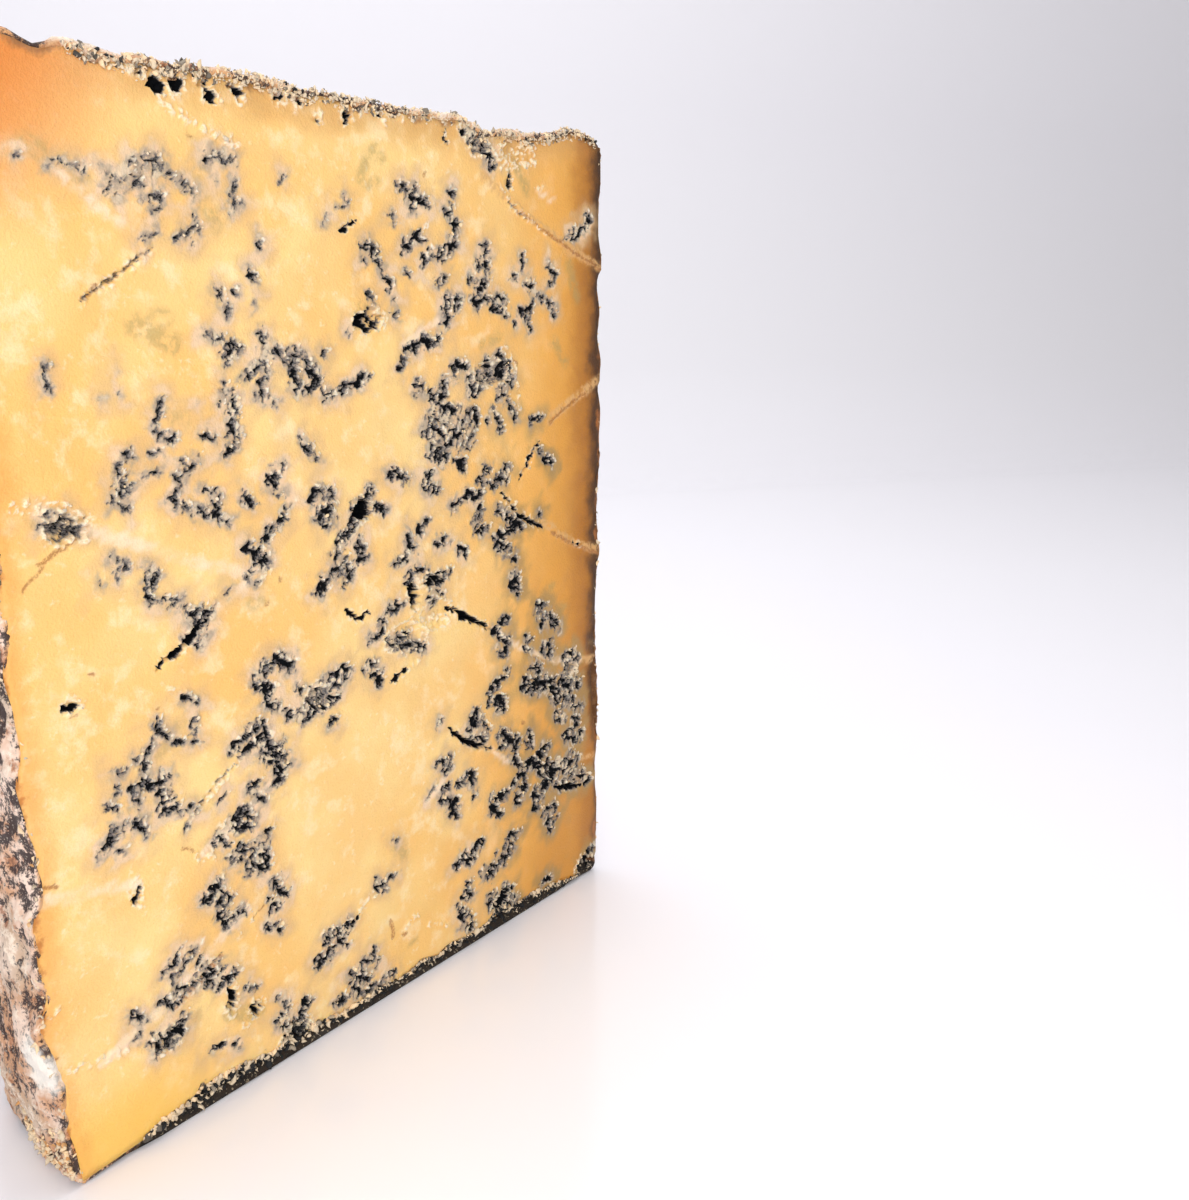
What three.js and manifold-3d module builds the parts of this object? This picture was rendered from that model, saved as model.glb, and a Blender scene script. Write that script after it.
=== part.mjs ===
// Half a wheel of blue cheese, cut down through its axis and standing on its flat end.
// The cut face looks along -Y, the craggy rind is the half round behind it. It is one
// piece of cheese, so it is one closed solid: rind, crust and veins are relief in it.
// Millimetres, +Z up. The origin lies on the table under the middle of the piece.

import * as THREE from 'three';
import { mergeVertices } from 'three/addons/utils/BufferGeometryUtils.js';
import Module from 'manifold-3d';

const wasm = await Module();
wasm.setup();

// The wheel
const wheelDiameter = 200;         // across the flat end that it stands on
const wheelHeight = 242;           // table to the upper crust
const nearSwell = 3.4;             // how far the side swells past the foot at the near edge
const nearWave = { height: 0.9, pitch: 80, crest: 40 };  // slow bulges up that edge
const farSwell = 1.5;              // the same at the far edge, which leans outwards
const farLean = 2.3;
const footHeight = 13;             // height over which the side swells out from the foot

// The two ends
const footRim = 2.4;               // crumbled round of the rind where it meets the foot
const crownRim = 3.6;              // and where it meets the crown
const crownFront = 30;             // how far behind the cut the next two shapes reach
const crownHump = { x: 89, rise: 3.6, width: 9 };      // lump of crust at the far corner
const crownChip = { x: 56, rise: -1.9, width: 13 };    // where the upper crust broke off
const footLift = { reach: 7, rise: 2.1, halfWidth: 84, fade: 5 };  // crust clear of the table
const footChip = { x: -62, rise: 2.2, width: 16 };     // chunk missing from the lower crust
const footRagged = { size: 6, share: 0.35 };           // unevenness of both

// Relief
const rindCrag = { size: 19, depth: 2.6 };             // lumps and hollows of the rind
const rindGrain = { size: 7, depth: 1.3 };
const rimCalm = 0.35;              // share of both that is left at the two rims
const cornerCrumble = { size: 8, depth: 1.5 };         // raggedness of the rind's cut edge
const crownCrag = { size: 16, depth: 1.9, atCut: 0.4 };  // less of it along the cut
const crownGrain = { size: 6, depth: 0.8 };
const faceWave = { size: 34, depth: 0.9 };             // the knife's slight wander
const faceGrain = { size: 9, depth: 0.5 };             // curd torn by the knife
const faceProud = 0.4;             // furthest that the face stands out past its plane
const vertexStray = 1.1;           // how far a point of the surface strays along it

// Cracks and lumps
const crackStep = 5;               // length of crack from one section to the next
const crackRagged = { size: 3, share: 0.35 };          // unevenness of its width
const crackTip = 0.04;             // share of its length where it has closed
const cutterProud = 3;             // how far what cuts a crack stands out past the face
const lumpUneven = 0.2;            // how far a lump's corners stray from round, as a share

// Crumbs
const rimCrumbs = { count: 24, size: 2.6, reach: 94 };
const edgeCrumbs = { count: 8, size: 2.2, from: 14, to: 230, inset: 1.2 };

// Spacing of the surface's points
const faceColumns = 34;
const rindColumns = 34;
const sideRows = 32;
const footRings = [0.8, 1];
const crownRings = [1, 0.84, 0.67, 0.5, 0.33, 0.17];
const rimStep = 0.3;               // share of a rim's radius where its extra row lies

const baseRadius = wheelDiameter / 2;
const poleDepth = 0.42 * baseRadius;   // middle of the half round, behind the cut face

// Repeatable number from 0 to 1 for three whole numbers.
function hash(i, j, k) {
  let h = Math.imul(i, 374761393) ^ Math.imul(j, 668265263) ^ Math.imul(k, 1274126177);
  h = Math.imul(h ^ (h >>> 13), 1103515245);
  h = Math.imul(h ^ (h >>> 16), 2246822519);
  return ((h ^ (h >>> 15)) >>> 0) / 4294967296;
}

const ease = (t) => t * t * (3 - 2 * t);
const mix = (a, b, t) => a + (b - a) * t;
const bell = (distance, width) => Math.exp(-((distance / width) ** 2));

// Smooth noise from -1 to 1 at a point, with lumps about one size across.
function lumps(x, y, z, size, seed) {
  const p = [x / size, y / size, z / size];
  const cell = p.map(Math.floor);
  const [fx, fy, fz] = p.map((value, axis) => ease(value - cell[axis]));
  const corner = (i, j, k) => hash(cell[0] + i, cell[1] + j, cell[2] + k + 977 * seed);
  const edge = (j, k) => mix(corner(0, j, k), corner(1, j, k), fx);
  const value = mix(mix(edge(0, 0), edge(1, 0), fy), mix(edge(0, 1), edge(1, 1), fy), fz);
  return 2 * value - 1;
}

// Radius of the wheel at a height, between its near edge and its far edge.
function radiusAt(angle, z) {
  const nearShare = (1 - Math.cos(angle)) / 2;
  const out = 1 - Math.exp(-z / footHeight);
  const wave = nearWave.height * Math.cos((2 * Math.PI * (z - nearWave.crest)) / nearWave.pitch);
  const near = out * (nearSwell + wave);
  const far = out * farSwell + farLean * (z / wheelHeight) ** 2;
  return baseRadius + mix(far, near, nearShare);
}

// Height of the upper crust, and of the lower crust where it is lifted off the table.
function crownAt(x, y) {
  const front = bell(y, crownFront);
  const hump = crownHump.rise * bell(x - crownHump.x, crownHump.width);
  const chip = crownChip.rise * bell(x - crownChip.x, crownChip.width);
  const crag = crownCrag.depth * lumps(x, y, 0, crownCrag.size, 1);
  const grain = crownGrain.depth * lumps(x, y, 0, crownGrain.size, 2);
  return wheelHeight + front * (hump + chip) + crag * mix(1, crownCrag.atCut, front) + grain;
}

function footAt(x, y) {
  const inside = 1 / (1 + Math.exp((Math.abs(x) - footLift.halfWidth) / footLift.fade));
  const chip = footChip.rise * bell(x - footChip.x, footChip.width);
  const ragged = 1 + footRagged.share * lumps(x, 0, 0, footRagged.size, 3);
  return (footLift.rise * inside + chip) * ragged * Math.exp(-y / footLift.reach);
}

// A point of the half round's edge: the cut face first, then round the rind.
// The inset draws the rind in, and leaves the cut face where it is.
function edgePoint(column, z, inset) {
  if (column < faceColumns) {
    const near = radiusAt(Math.PI, z) - inset;
    const far = radiusAt(0, z) - inset;
    const t = column / faceColumns;
    return { x: mix(-near, far, t), y: 0, onFace: column > 0, angle: 0 };
  }
  const angle = (Math.PI * (column - faceColumns)) / rindColumns;
  const r = radiusAt(angle, z) - inset;
  return { x: r * Math.cos(angle), y: r * Math.sin(angle), onFace: false, angle };
}

// Side of the piece at a column and a share of its height, with its relief. The relief
// fades over the last seventh of the height at each end.
function sidePoint(column, share, inset) {
  const flat = edgePoint(column, share * wheelHeight, inset);
  const low = footAt(flat.x, flat.y);
  let z = mix(low, crownAt(flat.x, flat.y), share);
  const middle = Math.min(1, 8 * share * (1 - share));
  const stray = (seed) => vertexStray * lumps(7.3 * column, 0, 90 * share, 1, seed);
  let { x, y } = flat;
  if (flat.onFace) {
    x += stray(4);
    z += middle * stray(5);
    y += faceWave.depth * lumps(x, 0, z, faceWave.size, 6) - faceWave.depth / 2;
    y += faceGrain.depth * lumps(x, 0, z, faceGrain.size, 7);
    return [x, Math.max(y, -faceProud), z];
  }
  const atCorner = Math.sin(flat.angle) < 1e-3;
  let out = rindCrag.depth * lumps(x, y, z, rindCrag.size, 8);
  out += rindGrain.depth * lumps(x, y, z, rindGrain.size, 9);
  if (atCorner) {
    out = cornerCrumble.depth * (lumps(x, y, z, cornerCrumble.size, 10) - 0.3);
  }
  out *= mix(rimCalm, 1, middle);
  const r = Math.hypot(x, y);
  x *= (r + out) / r;
  y *= (r + out) / r;
  z += middle * stray(11);
  return [x, y, z];
}

// The two ends: rings that close in on a pole in the middle of the half round.
function endPoint(column, reach, isCrown) {
  const [ex, ey] = sidePoint(column, isCrown ? 1 : 0, isCrown ? crownRim : footRim);
  const x = ex * reach;
  const y = poleDepth + (ey - poleDepth) * reach;
  const foot = reach === 1 ? footAt(x, y) : 0;
  return [x, y, isCrown ? crownAt(x, y) : foot];
}

// The whole skin, as rows of points from the foot's pole up to the crown's pole.
function wheelSkin() {
  const columns = faceColumns + rindColumns;
  const rows = [];
  const addRow = (point) => {
    rows.push(Array.from({ length: columns }, (_, column) => point(column)));
  };
  for (const reach of footRings) {
    addRow((column) => endPoint(column, reach, false));
  }
  const rimInset = 1 - Math.sqrt(1 - (1 - rimStep) ** 2);
  addRow((column) => sidePoint(column, (rimStep * footRim) / wheelHeight, rimInset * footRim));
  for (let row = 0; row <= sideRows; row += 1) {
    const rise = mix(footRim, wheelHeight - crownRim, row / sideRows);
    addRow((column) => sidePoint(column, rise / wheelHeight, 0));
  }
  addRow((column) => sidePoint(column, 1 - (rimStep * crownRim) / wheelHeight, rimInset * crownRim));
  for (const reach of crownRings) {
    addRow((column) => endPoint(column, reach, true));
  }

  const points = rows.flat();
  const triangles = [];
  for (let row = 0; row + 1 < rows.length; row += 1) {
    for (let column = 0; column < columns; column += 1) {
      const next = (column + 1) % columns;
      const a = row * columns + column;
      const b = row * columns + next;
      const c = a + columns;
      const d = b + columns;
      const leans = (row + column) % 2 === 0;
      triangles.push(...(leans ? [a, b, d, a, d, c] : [a, b, c, b, d, c]));
    }
  }
  const footPole = points.push([0, poleDepth, 0]) - 1;
  const crownPole = points.push([0, poleDepth, crownAt(0, poleDepth)]) - 1;
  const lastRow = (rows.length - 1) * columns;
  for (let column = 0; column < columns; column += 1) {
    const next = (column + 1) % columns;
    triangles.push(footPole, next, column);
    triangles.push(crownPole, lastRow + column, lastRow + next);
  }
  return solidFrom(points, triangles);
}

function solidFrom(points, triangles) {
  const vertProperties = new Float32Array(points.flat());
  const triVerts = new Uint32Array(triangles);
  return new wasm.Manifold(new wasm.Mesh({ numProp: 3, vertProperties, triVerts }));
}

// A crack opened in the cut face: a four-sided section carried along a path of
// [x, z] points. It is widest in the middle and closes to nothing at both ends.
function crack({ path, width, depth }) {
  const curve = new THREE.CatmullRomCurve3(path.map(([x, z]) => new THREE.Vector3(x, 0, z)));
  const steps = Math.max(5, Math.round(curve.getLength() / crackStep));
  const points = [];
  const triangles = [];
  for (let step = 0; step <= steps; step += 1) {
    const t = step / steps;
    const centre = curve.getPointAt(t);
    const along = curve.getTangentAt(t);
    const open = Math.sqrt(Math.sin(Math.PI * mix(crackTip, 1 - crackTip, t)));
    const uneven = lumps(centre.x, 0, centre.z, crackRagged.size, 12);
    const half = (width / 2) * open * (1 + crackRagged.share * uneven);
    const side = new THREE.Vector3(-along.z, 0, along.x).multiplyScalar(half);
    const above = centre.clone().add(side);
    const below = centre.clone().sub(side);
    const floor = [below.clone().lerp(centre, 0.5), above.clone().lerp(centre, 0.6)];
    points.push([above.x, -cutterProud, above.z], [below.x, -cutterProud, below.z]);
    points.push([floor[0].x, depth * open, floor[0].z], [floor[1].x, 0.8 * depth * open, floor[1].z]);
  }
  for (let step = 0; step < steps; step += 1) {
    for (let corner = 0; corner < 4; corner += 1) {
      const a = 4 * step + corner;
      const b = 4 * step + ((corner + 1) % 4);
      triangles.push(a, b, b + 4, a, b + 4, a + 4);
    }
  }
  const end = 4 * steps;
  triangles.push(0, 2, 1, 0, 3, 2, end, end + 1, end + 2, end, end + 2, end + 3);
  return outward(points, triangles);
}

// A closed skin whose faces may point in is turned so that they point out.
function outward(points, triangles) {
  let volume = 0;
  const v = points.map((p) => new THREE.Vector3(...p));
  for (let i = 0; i < triangles.length; i += 3) {
    const [a, b, c] = [v[triangles[i]], v[triangles[i + 1]], v[triangles[i + 2]]];
    volume += a.dot(b.clone().cross(c));
  }
  return solidFrom(points, volume > 0 ? triangles : triangles.slice().reverse());
}

// A lump with uneven flat faces, such as a crumb, or what a hole takes out.
function lump({ x, y, z, size, seed, detail = 0 }) {
  const ball = new THREE.IcosahedronGeometry(1, detail);
  ball.deleteAttribute('normal');
  ball.deleteAttribute('uv');
  const shape = mergeVertices(ball, 1e-4);
  const place = shape.getAttribute('position');
  const turn = new THREE.Euler(6.3 * hash(seed, 1, 0), 6.3 * hash(seed, 2, 0), 0);
  const points = [];
  for (let i = 0; i < place.count; i += 1) {
    const p = new THREE.Vector3().fromBufferAttribute(place, i);
    p.multiplyScalar(1 + lumpUneven * (2 * hash(seed, 3, i) - 1));
    p.applyEuler(turn);
    points.push([x + p.x * size[0], y + p.y * size[1], z + p.z * size[2]]);
  }
  return solidFrom(points, Array.from(shape.index.array));
}

// Cracks between the curds and along the piercing needles' tracks, as they lie on the
// cut face: x from the axis, z from the table.
const cracks = [
  { path: [[-79, 193], [-70, 198], [-61, 204]], width: 2.2, depth: 4 },
  { path: [[-8, 210], [-2, 213]], width: 2, depth: 4 },
  { path: [[54, 224], [60, 220], [68, 217], [80, 211], [92, 208]], width: 2.6, depth: 5 },
  { path: [[81, 212], [88, 216], [96, 218]], width: 2.2, depth: 3 },
  { path: [[-84, 147], [-74, 143], [-60, 137], [-44, 130]], width: 2.6, depth: 3 },
  { path: [[64, 146], [70, 153], [77, 156.5], [90, 161]], width: 2.4, depth: 5 },
  { path: [[50, 141], [57, 135], [64, 129.5], [73, 126], [84, 121]], width: 2.8, depth: 5 },
  { path: [[-69, 113], [-62, 117], [-54, 122]], width: 2.4, depth: 5 },
  { path: [[28, 109], [36, 104], [44, 100], [50, 96]], width: 3, depth: 5 },
  { path: [[-63, 78], [-57, 81], [-50, 85]], width: 2.2, depth: 3 },
  { path: [[26, 73], [33, 67], [40, 63], [48, 59]], width: 3, depth: 5 },
  { path: [[70, 76], [76, 72], [78, 68]], width: 2.4, depth: 4 },
  { path: [[77, 38], [84, 36], [92, 34]], width: 2.6, depth: 4 },
  { path: [[-71, 31], [-62, 36], [-52, 42]], width: 2, depth: 3 },
  { path: [[4, 92.5], [10, 95]], width: 2, depth: 4 },
  { path: [[-12, 116], [-8, 112.5], [-3, 113.5]], width: 2.2, depth: 4 },
  { path: [[60, 49.5], [66, 51], [71, 51.5]], width: 2, depth: 3 },
];

// Holes that mould has opened, and the broken patch right of the middle.
const holes = [
  { x: 1, z: 189, size: [5.5, 5, 3], detail: 1 },
  { x: 58, z: 228, size: [2, 4, 2.8] },
  { x: -89, z: 148, size: [6.5, 5, 3.6], detail: 1 },
  { x: -4, z: 141, size: [3.6, 6, 3.4], detail: 1 },
  { x: -90, z: 110, size: [1.8, 3, 1.8] },
  { x: -78.5, z: 62, size: [1.8, 4, 3.2] },
  { x: 14, z: 115, size: [3.2, 6, 5.6], detail: 1 },
  { x: 22, z: 118, size: [4.4, 3.5, 3], detail: 1 },
  { x: 10, z: 104, size: [9, 1.8, 5], detail: 1 },
  { x: 23, z: 108, size: [6.5, 1.6, 4.5], detail: 1 },
  { x: -55.5, z: 25, size: [2.6, 5, 3.6], detail: 1 },
  { x: -48.5, z: 19, size: [2.6, 4.5, 2.4] },
  { x: -74, z: 24, size: [4, 3, 3] },
  { x: -22, z: 95, size: [5, 2.6, 3.6] },
  { x: 49, z: 174, size: [8, 2.4, 4] },
  { x: 86, z: 77, size: [4, 3, 4] },
  { x: 75, z: 45, size: [5, 2.8, 3.4] },
  { x: 93, z: 4.5, size: [4.2, 4, 3.6], detail: 1 },
  { x: 48, z: 9, size: [4, 3.5, 3.4] },
  { x: -36, z: 6, size: [5, 3, 3] },
  { x: 45, z: 236, size: [5, 2.5, 3.5] },
  { x: 62, z: 236, size: [7, 2.2, 4], detail: 1 },
];

// Crumbs stuck along the rims of both crusts and down the two cut edges of the rind.
function crumbs() {
  const made = [];
  for (let i = 0; i < 2 * rimCrumbs.count; i += 1) {
    const isCrown = i % 2 === 0;
    const t = (Math.floor(i / 2) + 0.25 + 0.5 * hash(i, 5, 1)) / rimCrumbs.count;
    const x = mix(-rimCrumbs.reach, rimCrumbs.reach, t);
    const grow = rimCrumbs.size * (0.55 + 0.7 * hash(i, 5, 2));
    const size = [grow * (0.9 + 0.6 * hash(i, 5, 3)), grow, grow * 0.8];
    const z = isCrown ? crownAt(x, 0) - 0.6 : footAt(x, 0) + size[2] * 1.25 + 0.3;
    made.push(lump({ x, y: 0.5 + 0.4 * grow, z, size, seed: 100 + i }));
  }
  for (let i = 0; i < 2 * edgeCrumbs.count; i += 1) {
    const isFar = i % 2 === 0;
    const t = (Math.floor(i / 2) + 0.9 * hash(i, 6, 1)) / edgeCrumbs.count;
    const z = mix(edgeCrumbs.from, edgeCrumbs.to, t);
    const reach = radiusAt(isFar ? 0 : Math.PI, z) - edgeCrumbs.inset;
    const grow = edgeCrumbs.size * (0.6 + 0.6 * hash(i, 6, 2));
    const size = [grow, grow, 1.3 * grow];
    made.push(lump({ x: isFar ? reach : -reach, y: 1.4, z, size, seed: 300 + i }));
  }
  return made;
}

let body = wheelSkin();
body = body.add(wasm.Manifold.union(crumbs()));
const openings = [
  ...cracks.map((shape) => crack(shape)),
  ...holes.map((shape, i) => lump({ y: 0, seed: 500 + i, ...shape })),
];
body = body.subtract(wasm.Manifold.union(openings));

// The surface as a three.js geometry, with the middle of its box over the origin.
const mesh = body.getMesh();
const geometry = new THREE.BufferGeometry();
geometry.setAttribute('position', new THREE.BufferAttribute(new Float32Array(mesh.vertProperties), 3));
geometry.setIndex(new THREE.BufferAttribute(new Uint32Array(mesh.triVerts), 1));
geometry.computeBoundingBox();
const box = geometry.boundingBox;
const middle = box.getCenter(new THREE.Vector3());
geometry.translate(-middle.x, -middle.y, -box.min.z);
geometry.computeVertexNormals();

const paste = new THREE.MeshStandardMaterial({ color: 0xe9bd6c, roughness: 0.55, metalness: 0 });
const cheese = new THREE.Mesh(geometry, paste);
cheese.name = 'cheese';

const wheelHalf = new THREE.Group();
wheelHalf.add(cheese);

export default wheelHalf;
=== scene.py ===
"""Half a wheel of blue cheese on a pale table: its paste, its rind and its crumbs, then the
table, the light and the camera.

The shapes are worked out in millimetres on the wheel itself: x along the cut face from the
wheel's axis, y into the cheese from the cut face, z up from the table.
"""

import math

import bpy
import numpy as np
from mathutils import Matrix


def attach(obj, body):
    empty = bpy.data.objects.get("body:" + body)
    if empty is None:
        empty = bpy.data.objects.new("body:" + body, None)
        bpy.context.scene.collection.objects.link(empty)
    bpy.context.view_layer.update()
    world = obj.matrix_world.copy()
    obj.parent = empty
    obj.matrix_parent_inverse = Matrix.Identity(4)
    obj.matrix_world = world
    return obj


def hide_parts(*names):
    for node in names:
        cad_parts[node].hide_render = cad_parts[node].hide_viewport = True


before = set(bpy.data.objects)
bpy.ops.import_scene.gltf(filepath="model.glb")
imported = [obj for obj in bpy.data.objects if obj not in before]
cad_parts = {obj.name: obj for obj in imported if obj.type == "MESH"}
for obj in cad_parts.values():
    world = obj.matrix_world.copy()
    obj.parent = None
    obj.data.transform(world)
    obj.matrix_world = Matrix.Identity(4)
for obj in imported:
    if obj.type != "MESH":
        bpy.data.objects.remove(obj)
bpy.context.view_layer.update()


# ---- The paste: form of the wheel -----------------------------------------------------
# Curd is milled, salted and left to sink together in a hoop, so the wheel is a plain drum.
# It swells and leans a little as it dries, its ends stay uneven, and a wire cuts it in two.

WHEEL_RADIUS = 100.0
WHEEL_HEIGHT = 242.0
FOOT_HEIGHT = 13.0  # height over which the side swells out from the foot
NEAR_SWELL, FAR_SWELL, FAR_LEAN = 3.4, 1.5, 2.3  # how far it stands out at each edge
NEAR_WAVE, WAVE_PITCH, WAVE_CREST = 0.9, 80.0, 40.0  # slow bulges up the near edge
FOOT_RIM, CROWN_RIM = 2.4, 3.6  # the rounds where the side meets the foot and the crown
EDGE_CRUMBLE, EDGE_WORN = 1.5, 0.45  # raggedness of the side along the cut, and its wear
HUMP_X, HUMP, HUMP_WIDTH = 89.0, 3.6, 9.0  # lump of the upper crust at the far corner
CHIP_X, CHIP, CHIP_WIDTH = 56.0, 1.9, 13.0  # where the upper crust has broken off
CROWN_FRONT = 30.0  # how far behind the cut those two reach
CROWN_CRAG, CROWN_GRAIN = 1.9, 0.8  # depth of the upper crust's lumps, large and small
FOOT_LIFT, LIFT_HALF, LIFT_DEEP = 2.1, 84.0, 7.0  # lower crust clear of the table
GAP_X, GAP, GAP_WIDTH = -62.0, 2.2, 16.0  # where a chunk of it is missing
AXIS_X, FACE_Y = 0.645, -51.472  # where the axis and the cut face lie in the frame


def hash01(i, j, k):
    """A repeatable number from 0 to 1 for whole numbers i, j and k, by mixing their bits."""
    i, j, k = (np.asarray(n).astype(np.int64).astype(np.uint32) for n in (i, j, k))
    h = i * np.uint32(374761393) ^ j * np.uint32(668265263) ^ k * np.uint32(1274126177)
    h = (h ^ (h >> np.uint32(13))) * np.uint32(1103515245)
    h = (h ^ (h >> np.uint32(16))) * np.uint32(2246822519)
    return (h ^ (h >> np.uint32(15))) / 4294967296.0


def ease(t):
    """Runs from 0 to 1 as t does, level at both ends."""
    return t * t * (3 - 2 * t)


def mix(a, b, t):
    """a where t is 0, b where t is 1, and a straight blend between."""
    return a + (b - a) * t


def rise(low, high, value):
    """Goes smoothly from 0 at low to 1 at high, whichever of them is the greater."""
    return ease(np.clip((value - low) / (high - low), 0, 1))


def bell(distance, width):
    """1 at no distance, falling off as a bell that wide."""
    return np.exp(-((distance / width) ** 2))


def lumps(x, y, z, size, seed):
    """Noise from -1 to 1: random values at the corners of cubes of that size, blended."""
    p = [np.asarray(v, float) / size for v in np.broadcast_arrays(x, y, z)]
    cell = [np.floor(v) for v in p]
    fx, fy, fz = (ease(v - c) for v, c in zip(p, cell))

    def corner(i, j, k):
        return hash01(cell[0] + i, cell[1] + j, cell[2] + k + 977 * seed)

    def edge(j, k):
        return mix(corner(0, j, k), corner(1, j, k), fx)

    return 2 * mix(mix(edge(0, 0), edge(1, 0), fy), mix(edge(0, 1), edge(1, 1), fy), fz) - 1


def radius_at(angle, z):
    """Radius of the side at an angle round from the far edge, and at a height: it swells
    out above the foot, waves slowly up the near edge and leans out up the far edge."""
    near_share = (1 - np.cos(angle)) / 2
    out = 1 - np.exp(-z / FOOT_HEIGHT)
    wave = np.cos(2 * np.pi * (z - WAVE_CREST) / WAVE_PITCH)
    near = out * (NEAR_SWELL + NEAR_WAVE * wave)
    far = out * FAR_SWELL + FAR_LEAN * (z / WHEEL_HEIGHT) ** 2
    return WHEEL_RADIUS + mix(far, near, near_share)


def ragged_at(x, y, z):
    """How far the side stands out or in where it is crumbled along the cut."""
    return EDGE_CRUMBLE * lumps(x, y, z, 8, 10) - EDGE_WORN


def crown_at(x, y):
    """Height of the upper crust: the wheel's height, a hump at the far corner and a chip
    left of it, and crags that are lower near the cut."""
    front = bell(y, CROWN_FRONT)
    shaped = HUMP * bell(x - HUMP_X, HUMP_WIDTH) - CHIP * bell(x - CHIP_X, CHIP_WIDTH)
    crag = CROWN_CRAG * lumps(x, y, 0, 16, 1) * mix(1, 0.4, front)
    return WHEEL_HEIGHT + front * shaped + crag + CROWN_GRAIN * lumps(x, y, 0, 6, 2)


def foot_at(x, y):
    """Height of the lower crust over the table: lifted along the cut, most where a chunk
    has broken off, and flat on the table further in."""
    inside = 1 / (1 + np.exp((np.abs(x) - LIFT_HALF) / 5))
    lift = FOOT_LIFT * inside + GAP * bell(x - GAP_X, GAP_WIDTH)
    uneven = 1 + 0.35 * lumps(x, 0, 0, 6, 3)
    return lift * uneven * np.exp(-np.asarray(y, float) / LIFT_DEEP)


# ---- The paste: blue mould ------------------------------------------------------------
# Steel needles let air into the wheel, and blue mould grows in the seams between curds.
# Where the wire crosses a seam it shows as a frayed strand of blue-black specks, with
# grey bloom round them and torn curd raised on their upper right, painted pale there:
# partly pale curd and partly a painted highlight on the side that catches the light.

CURD_GRAIN = 2.7  # size of a grain of curd
SUNK_X, SUNK_Z = 0.5, 0.87  # the way that the curd has sunk
DRAWN_OUT, SQUEEZED = 0.70, 1.15  # what that does to a grain, along it and across
RIPE_LEAST, RIPER = 0.62, 0.30  # ripeness at the near top, and its two steps up from there
THREAD_HALF, SEAM_HALF = 1.05, 0.42  # half widths of mould along a strand and in a seam
THICKEST = 1.05  # how thick it is in their middle
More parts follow.
